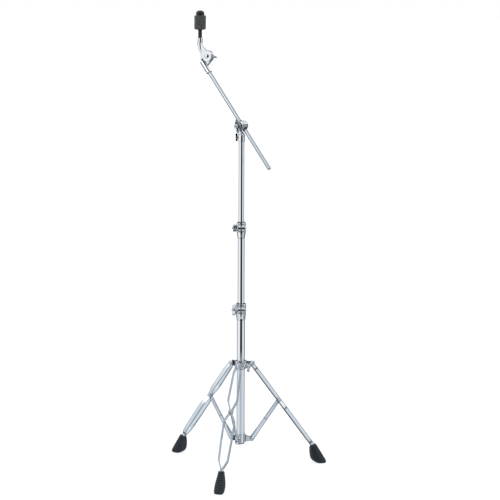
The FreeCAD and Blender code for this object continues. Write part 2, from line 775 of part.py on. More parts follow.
def tilter_screw():
    """Wing screw that bears on the tube; its wing stands upright."""
    shank = turned("tilter_screw_shank",
                   [(0, 0.2), (2.5, 0.2), (2.5, 4.2), (4.4, 4.2), (4.4, 8), (0, 8)],
                   facing(Vector(-size["up_od"] / 2, 0, screw_z), -X_AXIS))
    wing = body("tilter_screw_wing")
    side = outline(wing, "XZ", [
        (-13.9, -11), (-19.4, -13.5), (-20.6, -10), (-20.9, 4), (-21.6, 13), (-18.8, 15.5),
        (-14.3, 13.5)])
    pad(wing, side, 4.4, mid=True)
    soften(wing, lambda edge: straight(edge, 1), 1.6)
    wing.Placement = at(0, 0, screw_z)
    boolean("Fuse", "tilter_base_screw", shank, wing, final=True)


def rod_passage(part, length):
    """Cross bore for the rod and its sleeve."""
    cut(part, circles(part, "XY", [("rod_off", 0)], "rod_dia/2+rod_clear"), length)


def drum():
    """Round block on the tilt axis, hollow for the eye bolt."""
    part = body("boom_tilter_drum")
    revolve(part, outline(part, "XZ", [
        ("drum_end", 0), ("drum_end", "drum_r-1"), ("drum_end+1", "drum_r"),
        ("drum_face-1", "drum_r"), ("drum_face", "drum_r-1"), ("drum_face", 0)]), "H_Axis")
    groove(part, outline(part, "XZ", [
        ("drum_end-1", 0), ("drum_end-1", "drum_bore_r"), ("drum_face-1.8", "drum_bore_r"),
        ("drum_face-1.8", "bolt_dia/2+0.1"), ("drum_face+1", "bolt_dia/2+0.1"),
        ("drum_face+1", 0)]), "H_Axis")
    rod_passage(part, 80)
    part.Placement = boom_at


def drum_cap():
    """Domed cap in the drum's open end."""
    part = body("boom_tilter_cap")
    revolve(part, outline(part, "XZ", [
        ("drum_end-4.4", 0), ("drum_end-4.2", "drum_r-9"), ("drum_end-3", "drum_r-4"),
        ("drum_end-1.2", "drum_r-0.6"), ("drum_end-0.05", "drum_r-0.2"),
        ("drum_end-0.05", "drum_bore_r-0.02"), ("drum_end+0.7", "drum_bore_r-0.02"),
        ("drum_end+0.7", 0)]), "H_Axis")
    part.Placement = boom_at


def eye_bolt():
    """The eye surrounds the rod's sleeve, the shank runs through the ear."""
    part = body("boom_eye_bolt")
    pad(part, circles(part, "XY", [("rod_off", 0)], "rod_dia/2+3.9"), 10, mid=True)
    revolve(part, outline(part, "XZ", [
        ("rod_off+8.6", 0), ("rod_off+8.6", "bolt_dia/2"), (41.2, "bolt_dia/2"),
        (42, "bolt_dia/2-0.8"), (42, 0)]), "H_Axis")
    rod_passage(part, 60)
    part.Placement = boom_at


def boom_rod():
    """The rod, the nylon sleeve it slides in and the cap on its lower end."""
    bore = "rod_dia/2+bush_gap"
    turned("boom_rod_sleeve", [
        (bore, -20), ("rod_dia/2+2.4", -20), ("rod_dia/2+2.4", -18), ("rod_dia/2+1.42", -18),
        ("rod_dia/2+1.42", 18.2), (bore, 18.2)], rod_at)
    turned("boom_rod", [
        (0, "rod_low"), ("rod_dia/2-0.5", "rod_low"), ("rod_dia/2", "rod_low+0.5"),
        ("rod_dia/2", "rod_high-0.5"), ("rod_dia/2-0.5", "rod_high"), (0, "rod_high")], rod_at)
    turned("boom_rod_end_cap", [
        (0, "rod_low-2.4"), ("rod_dia/2-1.6", "rod_low-2.4"), ("rod_dia/2-0.1", "rod_low-0.8"),
        ("rod_dia/2-0.1", "rod_low-0.05"), (0, "rod_low-0.05")], rod_at)


# ---------------------------------------------------------------- cymbal tilter
def hinge_hole(label):
    return rod_between(label, hinge - tilt_axis * 40, hinge + tilt_axis * 30, "bolt_dia/2+0.1")


def tilter_socket():
    """Casting on the rod's end: sleeve, web and far disc."""
    bore = "rod_dia/2+fit/2"
    sleeve = turned("tilter_socket", [
        (bore, "socket_low"), ("socket_r-0.8", "socket_low"), ("socket_r", "socket_low+1.2"),
        ("socket_r", "socket_high-1.5"), ("socket_r-1.5", "socket_high"), (0, "socket_high"),
        (0, "rod_high+0.1"), (bore, "rod_high+0.1")], rod_at)
    web = body("tilter_socket_web")
    level = "rod_off-9.8"
    side = outline(web, "YZ", [
        ("hinge_off", "hinge_along+disc_r-2"), (7.2, "socket_high-1"), (7.2, "socket_low+27"),
        ("hinge_off-4", "hinge_along-disc_r+0.4")], offset=level)
    pad(web, side, "disc_thick")
    disc = circles(web, "YZ", [("hinge_off", "hinge_along")], "disc_r", offset=level)
    pad(web, disc, "disc_thick")
    web.Placement = boom_at
    solid = boolean("Fuse", "tilter_socket_solid", sleeve, web)
    boolean("Cut", "cymbal_tilter_socket", solid, hinge_hole("tilter_socket_hole"), final=True)


def tilter_arm():
    """Upper casting: post socket, web and near disc."""
    post = body("tilter_arm_post")
    rings = [circles(post, "XY", [(0, y)], radius, offset=z) for z, y, radius in STEM]
    loft = post.newObject("PartDesign::AdditiveLoft", "tilter_arm_post_stem")
    loft.Profile = rings[0]
    loft.Sections = rings[1:]
    doc.recompute()
    post.Placement = seat_at

    web = body("tilter_arm_web")
    level = "rod_off+disc_gap"
    side = outline(web, "YZ", [
        (-2, "disc_r-0.2"), (-9, 24), (-16.5, 31), (-22.5, 39), (-26.6, 49), (-36.8, 54),
        (-33, 20), (-24.6, -6), (-20, -8), (-14, -14.2)], offset=level)
    pad(web, side, 6)
    pad(web, circles(web, "YZ", [(0, 0)], "disc_r", offset=level), "disc_thick")
    face = val(level + "+disc_thick")
    soften(web, lambda edge: round_of(edge, size["disc_r"])
           and abs(start(edge).x - face) < 1e-3, 1.0)
    web.Placement = post_at
    solid = boolean("Fuse", "tilter_arm_rough", post, web)

    # the stem's foot is cut parallel to the end of the lower socket
    trim = box("tilter_arm_trim", 40, 27, 60,
               boom_at * at(val("rod_off-20"), -16, val("socket_high+3.6-60")))
    solid = boolean("Cut", "tilter_arm_trimmed", solid, trim)
    # its far half is relieved round the lower socket's disc and web
    relief = rod_between("tilter_arm_relief", hinge + tilt_axis * (size["rod_off"] - 14),
                         hinge + tilt_axis * (size["rod_off"] + 0.05), 26.4)
    solid = boolean("Cut", "tilter_arm_solid", solid, relief)
    solid = boolean("Cut", "tilter_arm_bored", solid, hinge_hole("tilter_arm_hole"))
    hole = rod_between("post_hole", seat_at.Base + Z_AXIS * (size["post_sock_high"] - 22),
                       seat_at.Base + Z_AXIS * (size["post_sock_high"] + 20),
                       "post_dia/2+fit/2")
    boolean("Cut", "cymbal_tilter_arm", solid, hole, final=True)


def tilter_bolt():
    """Bolt with a domed head on the near disc."""
    face = "-rod_off-disc_gap-disc_thick"
    turned("cymbal_tilter_bolt", [
        (0, face + "-5.2"), (4.2, face + "-5.2"), (8, face + "-2.6"), (8, face + "-0.1"),
        ("bolt_dia/2", face + "-0.1"), ("bolt_dia/2", 35), ("bolt_dia/2-0.8", 36), (0, 36)],
        post_at * facing(Vector(), -X_AXIS))


# ---------------------------------------------------------------- cymbal seat
# Half outlines of the parts on the post: radius, height above the hinge
SEAT_PARTS = {
    "cymbal_post": [
        (0, "post_sock_high-21.8"), ("post_dia/2", "post_sock_high-21.8"),
        ("post_dia/2", "nut_high-3"), ("post_dia/2-1", "nut_high-2"), (0, "nut_high-2")],
    "cymbal_sleeve": [
        ("post_dia/2+0.1", "post_sock_high+0.1"), ("sleeve_r+0.6", "post_sock_high+0.1"),
        ("sleeve_r+0.6", "post_sock_high+3"), ("sleeve_r", "post_sock_high+3.6"),
        ("sleeve_r", "felt_low-3.6"), ("sleeve_r+4", "felt_low-2.6"),
        ("sleeve_r+4", "felt_low-1.6"), ("sleeve_r", "felt_low-1.6"),
        ("sleeve_r", "felt_high-2"), ("sleeve_r-0.8", "felt_high-1"),
        ("post_dia/2+0.1", "felt_high-1")],
    "cymbal_seat_washer": [
        ("sleeve_r+0.1", "felt_low-1.5"), ("felt_r-4.2", "felt_low-1.5"),
        ("felt_r-3.6", "felt_low-0.9"), ("felt_r-4.2", "felt_low-0.1"),
        ("sleeve_r+0.1", "felt_low-0.1")],
    "lower_felt": [
        ("felt_hole", "felt_low"), ("felt_r-1.6", "felt_low"), ("felt_r-0.2", "felt_low+1.6"),
        ("felt_r", "felt_low+6"), ("felt_r", "gap_low-1.4"), ("felt_r-1", "gap_low"),
        ("felt_hole", "gap_low")],
    "upper_felt": [
        ("felt_hole", "gap_high"), ("felt_r-1", "gap_high"), ("felt_r", "gap_high+1.4"),
        ("felt_r-0.1", "felt_high-4"), ("felt_r-1.6", "felt_high-1"),
        ("felt_r-4", "felt_high"), ("felt_hole", "felt_high")],
    "cymbal_nut": [
        ("post_dia/2+0.08", "felt_high+0.2"), ("nut_r-0.6", "felt_high+0.2"),
        ("nut_r", "felt_high+1.2"), ("nut_r-0.3", "nut_high-5"), ("nut_r-2.2", "nut_high-2.2"),
        ("nut_r-6", "nut_high-0.4"), ("nut_r-9", "nut_high"), (0, "nut_high"),
        (0, "nut_high-1.6"), ("post_dia/2+0.08", "nut_high-1.6")],
}
STEM[1:3] = [(42, 0, 9.3), (30, 1.9, 8.8)]


# ---------------------------------------------------------------- build
tube("base_tube", "base")
tube("middle_tube", "mid")
tube("upper_tube", "up")
base_plug()
guide("middle_tube_guide", "mid", around="base")
guide("upper_tube_guide", "up", around="mid")
bush("base_bush", "base", inside="mid")
bush("middle_bush", "mid", inside="up")
clamp("base_clamp", "base")
clamp("middle_clamp", "mid")
clamp_nut("base_clamp_wing_nut", "base", spin=48,
          hub_len=19, root=(5, 18), tip=(7.6, 20.5), reach=22.5)
clamp_nut("middle_clamp_wing_nut", "mid", spin=131,
          hub_len=17.5, root=(4, 16.5), tip=(6, 18.5), reach=21)

lugged_collar("lower_collar", "low_ring", "base_od/2+fit/2", size["low_pivot_z"],
              drop=0.27, rise=0.5, final=True)
leg_collar()
collar_pins("lower_collar_pins", size["low_pivot_z"], "strip_gap+brace_t+pin_gap")
collar_pins("leg_collar_pins", top_pivot_z, "strip_gap+strip_t+pin_gap")
for name, angle, clockwise, anticlockwise in LEGS:
    leg(name, angle, clockwise, anticlockwise)
    foot(name, angle)

tilter_base()
tilter_screw()
drum()
drum_cap()
eye_bolt()
boom_rod()
wings("boom_wing_nut",
      boom_at * facing(Vector(size["ear_outer"] + 0.2, 0, 0), X_AXIS, 8 - size["lean"]),
      hub_r=9, hub_len=20, root=(4, 18.5), tip=(3.4, 12.5), reach=24, thick=6.0, full=True)

tilter_socket()
tilter_arm()
tilter_bolt()
wings("cymbal_tilter_wing_nut",
      post_at * facing(Vector(size["rod_off"] - 10, 0, 0), -X_AXIS, 105),
      hub_r=8, hub_len=17, root=(4.5, 15), tip=(9, 19), reach=22)
for label, profile in SEAT_PARTS.items():
    turned(label, profile, seat_at)

# ---------------------------------------------------------------- write
doc.recompute()
for thing in doc.Objects:
    if "Invalid" in thing.State or "Error" in thing.State:
        raise RuntimeError("object failed: " + thing.Label)
os.makedirs("parts", exist_ok=True)
for piece in pieces:
    if piece.Shape.isNull() or not piece.Shape.isValid() or not piece.Shape.Solids:
        raise RuntimeError("bad shape: " + piece.Label)
    piece.Shape.exportStep("parts/%s.step" % piece.Label)
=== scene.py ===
import bpy, bmesh, math, json, random
import numpy as np
from mathutils import Vector, Matrix, noise


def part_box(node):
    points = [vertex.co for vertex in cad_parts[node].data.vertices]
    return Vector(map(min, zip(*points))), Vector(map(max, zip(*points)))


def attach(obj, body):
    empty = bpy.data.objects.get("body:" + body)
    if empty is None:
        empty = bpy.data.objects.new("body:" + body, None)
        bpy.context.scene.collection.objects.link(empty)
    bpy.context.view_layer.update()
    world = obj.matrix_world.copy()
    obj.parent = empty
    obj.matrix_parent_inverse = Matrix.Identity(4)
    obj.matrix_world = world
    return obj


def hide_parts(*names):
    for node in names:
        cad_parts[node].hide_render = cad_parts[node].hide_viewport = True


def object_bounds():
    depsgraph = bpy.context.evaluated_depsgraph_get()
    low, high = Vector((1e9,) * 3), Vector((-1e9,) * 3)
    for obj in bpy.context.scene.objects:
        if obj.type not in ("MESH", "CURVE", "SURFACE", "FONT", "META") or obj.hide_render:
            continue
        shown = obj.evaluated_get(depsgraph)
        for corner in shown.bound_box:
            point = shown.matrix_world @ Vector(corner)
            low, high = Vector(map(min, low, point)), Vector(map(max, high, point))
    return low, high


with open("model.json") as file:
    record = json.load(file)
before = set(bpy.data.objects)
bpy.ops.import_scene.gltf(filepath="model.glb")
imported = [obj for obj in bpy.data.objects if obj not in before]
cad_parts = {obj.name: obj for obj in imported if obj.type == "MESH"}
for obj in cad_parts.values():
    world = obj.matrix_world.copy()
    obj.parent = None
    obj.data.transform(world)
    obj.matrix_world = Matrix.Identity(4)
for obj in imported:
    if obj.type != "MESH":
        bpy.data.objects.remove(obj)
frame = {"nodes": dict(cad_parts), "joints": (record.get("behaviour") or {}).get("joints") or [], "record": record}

cad_low, cad_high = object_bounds()
nodes = frame["nodes"]
node_body = {n: b for b, ns in frame["record"]["behaviour"]["bodies"].items() for n in ns}
joints = {j["name"]: j for j in frame["joints"]}
MM = 0.001
rnd = random.Random(11)


# colour of the painted dark reflections on the chrome
PAINTED_DARK_REFLECTION = (0.045, 0.052, 0.065)


# ------------------------------------------------------------------ node helpers
def new_mat(name):
    m = bpy.data.materials.new(name)
    m.use_nodes = True
    nt = m.node_tree
    nt.nodes.clear()
    out = nt.nodes.new("ShaderNodeOutputMaterial")
    bsdf = nt.nodes.new("ShaderNodeBsdfPrincipled")
    nt.links.new(bsdf.outputs[0], out.inputs[0])
    return m, nt, bsdf


def obj_coord(nt, scale=1.0, squash=(1, 1, 1)):
    tc = nt.nodes.new("ShaderNodeTexCoord")
    mp = nt.nodes.new("ShaderNodeMapping")
    mp.inputs["Scale"].default_value = [scale * s for s in squash]
    nt.links.new(tc.outputs["Object"], mp.inputs["Vector"])
    return mp.outputs[0]


def noise_tex(nt, vec, scale, detail=3, rough=0.5):
    n = nt.nodes.new("ShaderNodeTexNoise")
    n.inputs["Scale"].default_value = scale
    n.inputs["Detail"].default_value = detail
    n.inputs["Roughness"].default_value = rough
    nt.links.new(vec, n.inputs["Vector"])
    return n


def ramp(nt, fac, stops, interp="LINEAR"):
    r = nt.nodes.new("ShaderNodeValToRGB")
    r.color_ramp.interpolation = interp
    el = r.color_ramp.elements
    while len(el) > 1:
        el.remove(el[0])
    el[0].position = stops[0][0]
    el[0].color = (*stops[0][1], 1) if isinstance(stops[0][1], tuple) else (stops[0][1],) * 3 + (1,)
    for p, c in stops[1:]:
        e = el.new(p)
        e.color = (*c, 1) if isinstance(c, tuple) else (c, c, c, 1)
    nt.links.new(fac, r.inputs[0])
    return r


def mix_rgb(nt, fac, a, b):
    m = nt.nodes.new("ShaderNodeMix")
    m.data_type = "RGBA"
    for sock, v in ((m.inputs[0], fac), (m.inputs[6], a), (m.inputs[7], b)):
        if hasattr(v, "is_output"):
            nt.links.new(v, sock)
        elif isinstance(v, (int, float)):
            sock.default_value = v
        else:
            sock.default_value = (*v, 1)
    return m.outputs[2]


def bump(nt, height, strength, dist, bsdf, extra=None):
    b = nt.nodes.new("ShaderNodeBump")
    b.inputs["Strength"].default_value = strength
    b.inputs["Distance"].default_value = dist
    nt.links.new(height, b.inputs["Height"])
    if extra is not None:
        nt.links.new(extra, b.inputs["Normal"])
    nt.links.new(b.outputs[0], bsdf.inputs["Normal"])
    return b.outputs[0]


def times(nt, a, b):
    m = nt.nodes.new("ShaderNodeMix")
    m.data_type = "RGBA"
    m.blend_type = "MULTIPLY"
    m.inputs[0].default_value = 1.0
    nt.links.new(a, m.inputs[6])
    nt.links.new(b, m.inputs[7])
    return m.outputs[2]


def azimuth_mask(nt, vec, stops):
    """1 where a direction points to the dark gap beside the camera, 0 elsewhere."""
    sep = nt.nodes.new("ShaderNodeSeparateXYZ")
    nt.links.new(vec, sep.inputs[0])
    neg = nt.nodes.new("ShaderNodeMath")
    neg.operation = "MULTIPLY"
    neg.inputs[1].default_value = -1
    nt.links.new(sep.outputs["Y"], neg.inputs[0])
    at2 = nt.nodes.new("ShaderNodeMath")
    at2.operation = "ARCTAN2"
    nt.links.new(sep.outputs["X"], at2.inputs[0])
    nt.links.new(neg.outputs[0], at2.inputs[1])
    mr = nt.nodes.new("ShaderNodeMapRange")
    mr.inputs["From Min"].default_value = -math.pi
    mr.inputs["From Max"].default_value = math.pi
    nt.links.new(at2.outputs[0], mr.inputs["Value"])
    d = lambda deg: deg / 360 + 0.5
    return ramp(nt, mr.outputs[0], [(d(a), v) for a, v in stops]).outputs[0], sep


def chrome(name, tint, rough, ripple=0.0, ripple_scale=120, streak=None, painted_gap_shade=0.35, rim=None, painted_reflection_spots=None, across=None, card=None, edge=None, tilt=None):
    """Polished chrome plate: cloudy roughness, fine wipe marks, painted shade (a darker base colour) where parts meet.
    rim: how dark the turned-away edges are painted (painted shade); painted_reflection_spots: crisp painted dark
    reflections by mirror direction (scale, threshold, value);
    across: (point, direction, half width, darkness of the - edge, darkness of the + edge) of the painted dark
    reflections along long strips;
    card: the mirror heights between which the studio's dark gap is painted in as a reflection; edge: (radius, darkness)
    of the painted dark reflection on the rounded edges; tilt: leans the mirrored direction of a flat strip."""
    m, nt, b = new_mat(name)
    b.inputs["Metallic"].default_value = 1.0
    vec = obj_coord(nt)
    cloud = noise_tex(nt, vec, 38, 4, 0.6)
    fine = noise_tex(nt, obj_coord(nt, 1, streak or (1, 1, 1)), 420, 2, 0.5)
    mix = nt.nodes.new("ShaderNodeMath")
    mix.operation = "MULTIPLY"
    nt.links.new(cloud.outputs[0], mix.inputs[0])
    nt.links.new(fine.outputs[0], mix.inputs[1])
    r = nt.nodes.new("ShaderNodeMapRange")
    r.inputs["From Min"].default_value = 0.1
    r.inputs["From Max"].default_value = 0.45
    r.inputs["To Min"].default_value = rough * 0.6
    r.inputs["To Max"].default_value = rough * 1.7
    nt.links.new(mix.outputs[0], r.inputs["Value"])
    nt.links.new(r.outputs[0], b.inputs["Roughness"])
    # painted shade: the base colour darkens by ambient occlusion where parts meet
    ao = nt.nodes.new("ShaderNodeAmbientOcclusion")
    ao.inputs["Distance"].default_value = 0.006
    ao.samples = 6
    c = ramp(nt, ao.outputs["AO"], [(0.0, tuple(t * (1 - painted_gap_shade) for t in tint)), (0.55, tuple(t * (1 - painted_gap_shade * 0.25) for t in tint)), (0.9, tint)])
    shade = c.outputs[0]
    # painted shade: faces turned away from the camera are darkened in the base colour
    if rim:
        lw = nt.nodes.new("ShaderNodeLayerWeight")
        lw.inputs["Blend"].default_value = 0.5
        start, end, value = rim
        shade = times(nt, shade, ramp(nt, lw.outputs["Facing"], [(start, 1.0), (end, value)]).outputs[0])
    # painted dark reflections: crisp dark patches in the base colour, placed by the mirrored direction
    if painted_reflection_spots:
        size, cut, value, shift = painted_reflection_spots
        tc = nt.nodes.new("ShaderNodeTexCoord")
        move = nt.nodes.new("ShaderNodeVectorMath")
        move.operation = "ADD"
        move.inputs[1].default_value = (shift, shift * 0.37, -shift * 0.61)
        nt.links.new(tc.outputs["Reflection"], move.inputs[0])
        patch = noise_tex(nt, move.outputs[0], size, 1.5, 0.45)
        patch.inputs["Distortion"].default_value = 0.6
        shade = times(nt, shade, ramp(nt, patch.outputs[0], [(cut - 0.02, value), (cut + 0.02, (1.0, 1.0, 1.0))]).outputs[0])
    # painted reflection of the studio's dark gap: the base colour turns dark where the mirrored direction points into
    # it
    if card:
        tc = nt.nodes.new("ShaderNodeTexCoord")
        gap, parts = azimuth_mask(nt, tc.outputs["Reflection"], card[2])
        tall = ramp(nt, parts.outputs["Z"], [(0.0, 0.0), (card[0], 1.0), (card[1], 1.0), (min(1.0, card[1] + 0.06), 0.0)])
        both = nt.nodes.new("ShaderNodeMath")
        both.operation = "MULTIPLY"
        nt.links.new(gap, both.inputs[0])
        nt.links.new(tall.outputs[0], both.inputs[1])
        shade = mix_rgb(nt, both.outputs[0], shade, PAINTED_DARK_REFLECTION)
    # painted dark reflection on the rounded edges: the base colour darkens where the bevelled normal turns away from
    # the face normal
    if edge:
        bev = nt.nodes.new("ShaderNodeBevel")
        bev.samples = 6
        bev.inputs["Radius"].default_value = edge[0]
        true_n = nt.nodes.new("ShaderNodeNewGeometry")
        dot = nt.nodes.new("ShaderNodeVectorMath")
        dot.operation = "DOT_PRODUCT"
        nt.links.new(bev.outputs[0], dot.inputs[0])
        nt.links.new(true_n.outputs["Normal"], dot.inputs[1])
        shade = times(nt, shade, ramp(nt, dot.outputs["Value"], [(0.84, edge[1]), (0.985, (1.0, 1.0, 1.0))]).outputs[0])
    # painted reflections: dark bands along a strip's two long edges and a faint darker line just past the middle, set
    # across its width
    if across:
        point, way, half, dark_lo, dark_hi = across[:5]
        tc = nt.nodes.new("ShaderNodeTexCoord")
        sub = nt.nodes.new("ShaderNodeVectorMath")
        sub.operation = "SUBTRACT"
        sub.inputs[1].default_value = point
        nt.links.new(tc.outputs["Object"], sub.inputs[0])
        dot = nt.nodes.new("ShaderNodeVectorMath")
        dot.operation = "DOT_PRODUCT"
        dot.inputs[1].default_value = way
        nt.links.new(sub.outputs[0], dot.inputs[0])
        mr = nt.nodes.new("ShaderNodeMapRange")
        mr.inputs["From Min"].default_value = -half
        mr.inputs["From Max"].default_value = half
        nt.links.new(dot.outputs["Value"], mr.inputs["Value"])
        shade = times(nt, shade, ramp(nt, mr.outputs[0], [(0.0, dark_lo), (0.14, dark_lo), (0.30, (1.0, 1.0, 1.0)), (0.46, (1.0, 1.0, 1.0)), (0.52, (0.86, 0.87, 0.88)), (0.60, (1.0, 1.0, 1.0)),
                                                              (0.82, (1.0, 1.0, 1.0)), (0.92, dark_hi), (1.0, dark_hi)]).outputs[0])
        # painted dark reflection: an optional thin dark line at a given place across the width
        if len(across) > 5:
            mid, wide = across[5]
            line = ramp(nt, mr.outputs[0], [(mid - wide - 0.03, (1.0, 1.0, 1.0)), (mid - wide, PAINTED_DARK_REFLECTION), (mid + wide, PAINTED_DARK_REFLECTION), (mid + wide + 0.03, (1.0, 1.0, 1.0))])
            shade = times(nt, shade, line.outputs[0])
    nt.links.new(shade, b.inputs["Base Color"])
    if ripple:
        wave = noise_tex(nt, vec, ripple_scale, 1, 0.4)
        lean = None
        if tilt:
            face = nt.nodes.new("ShaderNodeNewGeometry")
            add = nt.nodes.new("ShaderNodeVectorMath")
            add.operation = "ADD"
            add.inputs[1].default_value = tilt
            nt.links.new(face.outputs["Normal"], add.inputs[0])
            unit = nt.nodes.new("ShaderNodeVectorMath")
            unit.operation = "NORMALIZE"
            nt.links.new(add.outputs[0], unit.inputs[0])
            lean = unit.outputs[0]
        bump(nt, wave.outputs[0], 0.35, ripple, b, lean)
    return m


def plastic(name, colour, rough, grain=900, depth=0.00006, coat=0.0):
    m, nt, b = new_mat(name)
    vec = obj_coord(nt)
    spots = noise_tex(nt, vec, 60, 4, 0.6)
    c = ramp(nt, spots.outputs[0], [(0.3, tuple(v * 0.75 for v in colour)), (0.7, tuple(v * 1.25 for v in colour))])
    nt.links.new(c.outputs[0], b.inputs["Base Color"])
    g = noise_tex(nt, vec, grain, 3, 0.6)
    rr = ramp(nt, g.outputs[0], [(0.3, rough * 0.85), (0.7, min(1, rough * 1.15))])
    nt.links.new(rr.outputs[0], b.inputs["Roughness"])
    b.inputs["Coat Weight"].default_value = coat
    bump(nt, g.outputs[0], 0.5, depth, b)
    return m


def rubber_mat(name):
    m, nt, b = new_mat(name)
    vec = obj_coord(nt)
    big = noise_tex(nt, vec, 35, 4, 0.6)
    c = ramp(nt, big.outputs[0], [(0.25, (0.009, 0.013, 0.018)), (0.6, (0.015, 0.021, 0.028)), (0.85, (0.026, 0.030, 0.034))])
    # the raised edges are a lighter blue-grey
    geo = nt.nodes.new("ShaderNodeNewGeometry")
    edge = ramp(nt, geo.outputs["Pointiness"], [(0.505, 0.0), (0.55, 1.0)])
    nt.links.new(mix_rgb(nt, edge.outputs[0], c.outputs[0], (0.075, 0.088, 0.10)), b.inputs["Base Color"])
    b.inputs["Specular IOR Level"].default_value = 0.26
    g = noise_tex(nt, vec, 1300, 3, 0.7)
    r = ramp(nt, big.outputs[0], [(0.3, 0.40), (0.7, 0.58)])
    nt.links.new(r.outputs[0], b.inputs["Roughness"])
    bump(nt, g.outputs[0], 0.6, 0.00012, b)
    return m


def felt_mat(name, colour):
    m, nt, b = new_mat(name)
    vec = obj_coord(nt)
    n1 = noise_tex(nt, vec, 260, 6, 0.75)
    n2 = noise_tex(nt, obj_coord(nt, 1, (1, 1, 2.4)), 900, 4, 0.7)
    mul = nt.nodes.new("ShaderNodeMath")
    mul.operation = "ADD"
    nt.links.new(n1.outputs[0], mul.inputs[0])
    nt.links.new(n2.outputs[0], mul.inputs[1])
    c = ramp(nt, mul.outputs[0], [(0.72, tuple(v * 0.35 for v in colour)), (1.0, colour), (1.3, tuple(min(1, v * 2.6) for v in colour))])
    nt.links.new(c.outputs[0], b.inputs["Base Color"])
    b.inputs["Roughness"].default_value = 0.95
    b.inputs["Specular IOR Level"].default_value = 0.12
    b.inputs["Sheen Weight"].default_value = 0.35
    b.inputs["Sheen Roughness"].default_value = 0.5
    bump(nt, mul.outputs[0], 0.9, 0.0006, b)
    return m


CHROME_TUBE = chrome("chrome_tube", (0.92, 0.95, 0.98), 0.035, streak=(1, 1, 0.06), painted_gap_shade=0.3, rim=(0.34, 0.74, (0.34, 0.38, 0.43)))
CHROME_ROD = chrome("satin_chrome_rod", (0.56, 0.625, 0.665), 0.10, streak=(1, 1, 0.06), painted_gap_shade=0.3, rim=(0.10, 0.42, (0.26, 0.30, 0.335)))
GAP = [(-30, 0.0), (-25, 1.0), (33, 1.0), (38, 0.0)]
CHROME_CAST = chrome("chrome_cast", (0.96, 0.98, 1.0), 0.045, ripple=0.00012, ripple_scale=140, painted_gap_shade=0.6, rim=(0.42, 0.80, (0.20, 0.235, 0.28)), painted_reflection_spots=(3.0, 0.42, PAINTED_DARK_REFLECTION, 7.9), card=(0.05, 0.56, GAP), edge=(0.0030, (0.05, 0.065, 0.09)))
# the rod-end socket carries one long painted dark reflection beside its centre line
CHROME_SOCKET = chrome("chrome_socket", (0.96, 0.98, 1.0), 0.045, ripple=0.00012, ripple_scale=140, painted_gap_shade=0.6, rim=(0.42, 0.80, (0.20, 0.235, 0.28)), edge=(0.0030, (0.05, 0.065, 0.09)),
                       across=((0.00258, 0.00369, 1.2063), (0.838, 0.0, 0.546), 0.0100, (0.30, 0.34, 0.38), (1.0, 1.0, 1.0), (0.60, 0.09)))
CHROME_WING = chrome("chrome_wing", (0.80, 0.86, 0.91), 0.05, ripple=0.00010, ripple_scale=180, painted_gap_shade=0.6, rim=(0.24, 0.54, (0.05, 0.06, 0.08)), painted_reflection_spots=(3.0, 0.42, PAINTED_DARK_REFLECTION, 9.1), card=(0.05, 0.56, [(-84, 0.0), (-79, 1.0), (-60, 1.0), (-55, 0.0)] + GAP), edge=(0.0022, (0.10, 0.12, 0.15)))
CHROME_STRIP = chrome("chrome_strip", (0.80, 0.86, 0.90), 0.14, ripple=0.00025, ripple_scale=70, painted_gap_shade=0.35)
RIVET = chrome("rivet_steel", (0.62, 0.64, 0.67), 0.12, ripple=0.0001, ripple_scale=200, rim=(0.4, 0.8, (0.2, 0.22, 0.26)))
STEEL = chrome("plated_steel", (0.56, 0.57, 0.60), 0.22, ripple=0.0001, ripple_scale=300, rim=(0.5, 0.85, (0.3, 0.3, 0.33)))
NYLON = plastic("black_nylon", (0.014, 0.014, 0.016), 0.42)
BLACK = plastic("black_moulded", (0.010, 0.010, 0.012), 0.36, grain=700, depth=0.00005)
RUBBER = rubber_mat("ribbed_rubber")
FELT = felt_mat("wool_felt", (0.052, 0.054, 0.051))

slot_mat = {"rubber": RUBBER, "felt": FELT, "nylon": NYLON, "black_plastic": BLACK, "steel": STEEL, "rivet_steel": RIVET,
            "chrome_tube": CHROME_TUBE, "chrome_strip": CHROME_STRIP, "chrome_cast": CHROME_CAST}
slot_of = {s["node"]: s["material_slot"] for s in frame["record"]["subparts"]}


# the long strips: each knows where its two long edges are, so that the rolled edges are painted with dark reflections
# and read darker than the flat
FOLD, ARM, HUB, LOW_Z = math.radians(53.5), 0.1656, 0.040, 0.0992
TOP_Z = LOW_Z + 2 * ARM * math.sin(FOLD)
ANG = {"right": 12.0, "left": 142.0, "front": 256.0}
strip_mats = {}
for word, deg in ANG.items():
    c, d = math.cos(math.radians(deg)), math.sin(math.radians(deg))
    cf, sf = math.cos(FOLD), math.sin(FOLD)
    strip_mats[word + "_leg"] = chrome("chrome_%s_leg_strip" % word, (0.90, 0.94, 0.97), 0.16 if word == "right" else 0.09, ripple=0.00022, ripple_scale=60, painted_gap_shade=0.35,
                                       across=((HUB * c, HUB * d, TOP_Z), (c * sf, d * sf, cf), 0.0075, (0.46, 0.50, 0.54) if word == "left" else (0.10, 0.115, 0.14), (0.58, 0.62, 0.66) if word == "left" else (0.42, 0.46, 0.50)), tilt=(0.20, 0.0, 0.0) if word == "right" else None)
    strip_mats[word + "_brace"] = chrome("chrome_%s_brace_strip" % word, (0.80, 0.86, 0.90), 0.08, ripple=0.00022, ripple_scale=60, painted_gap_shade=0.35,
                                         across=((HUB * c, HUB * d, LOW_Z), (-c * sf, -d * sf, cf), 0.0070, (0.50, 0.53, 0.57), (0.36, 0.39, 0.43)), tilt=(0.20, 0.0, 0.0) if word == "right" else None)


def look_of(n):
    if n in ("boom_rod", "boom_rod_end_cap"):
        return CHROME_ROD
    if n == "cymbal_tilter_socket":
        return CHROME_SOCKET
    for word, m in strip_mats.items():
        if n.startswith(word) and n.endswith("_strip"):
            return m
    return slot_mat[slot_of[n]]


def paint(o, m):
    o.data.materials.clear()
    o.data.materials.append(m)
    for p in o.data.polygons:
        p.material_index = 0


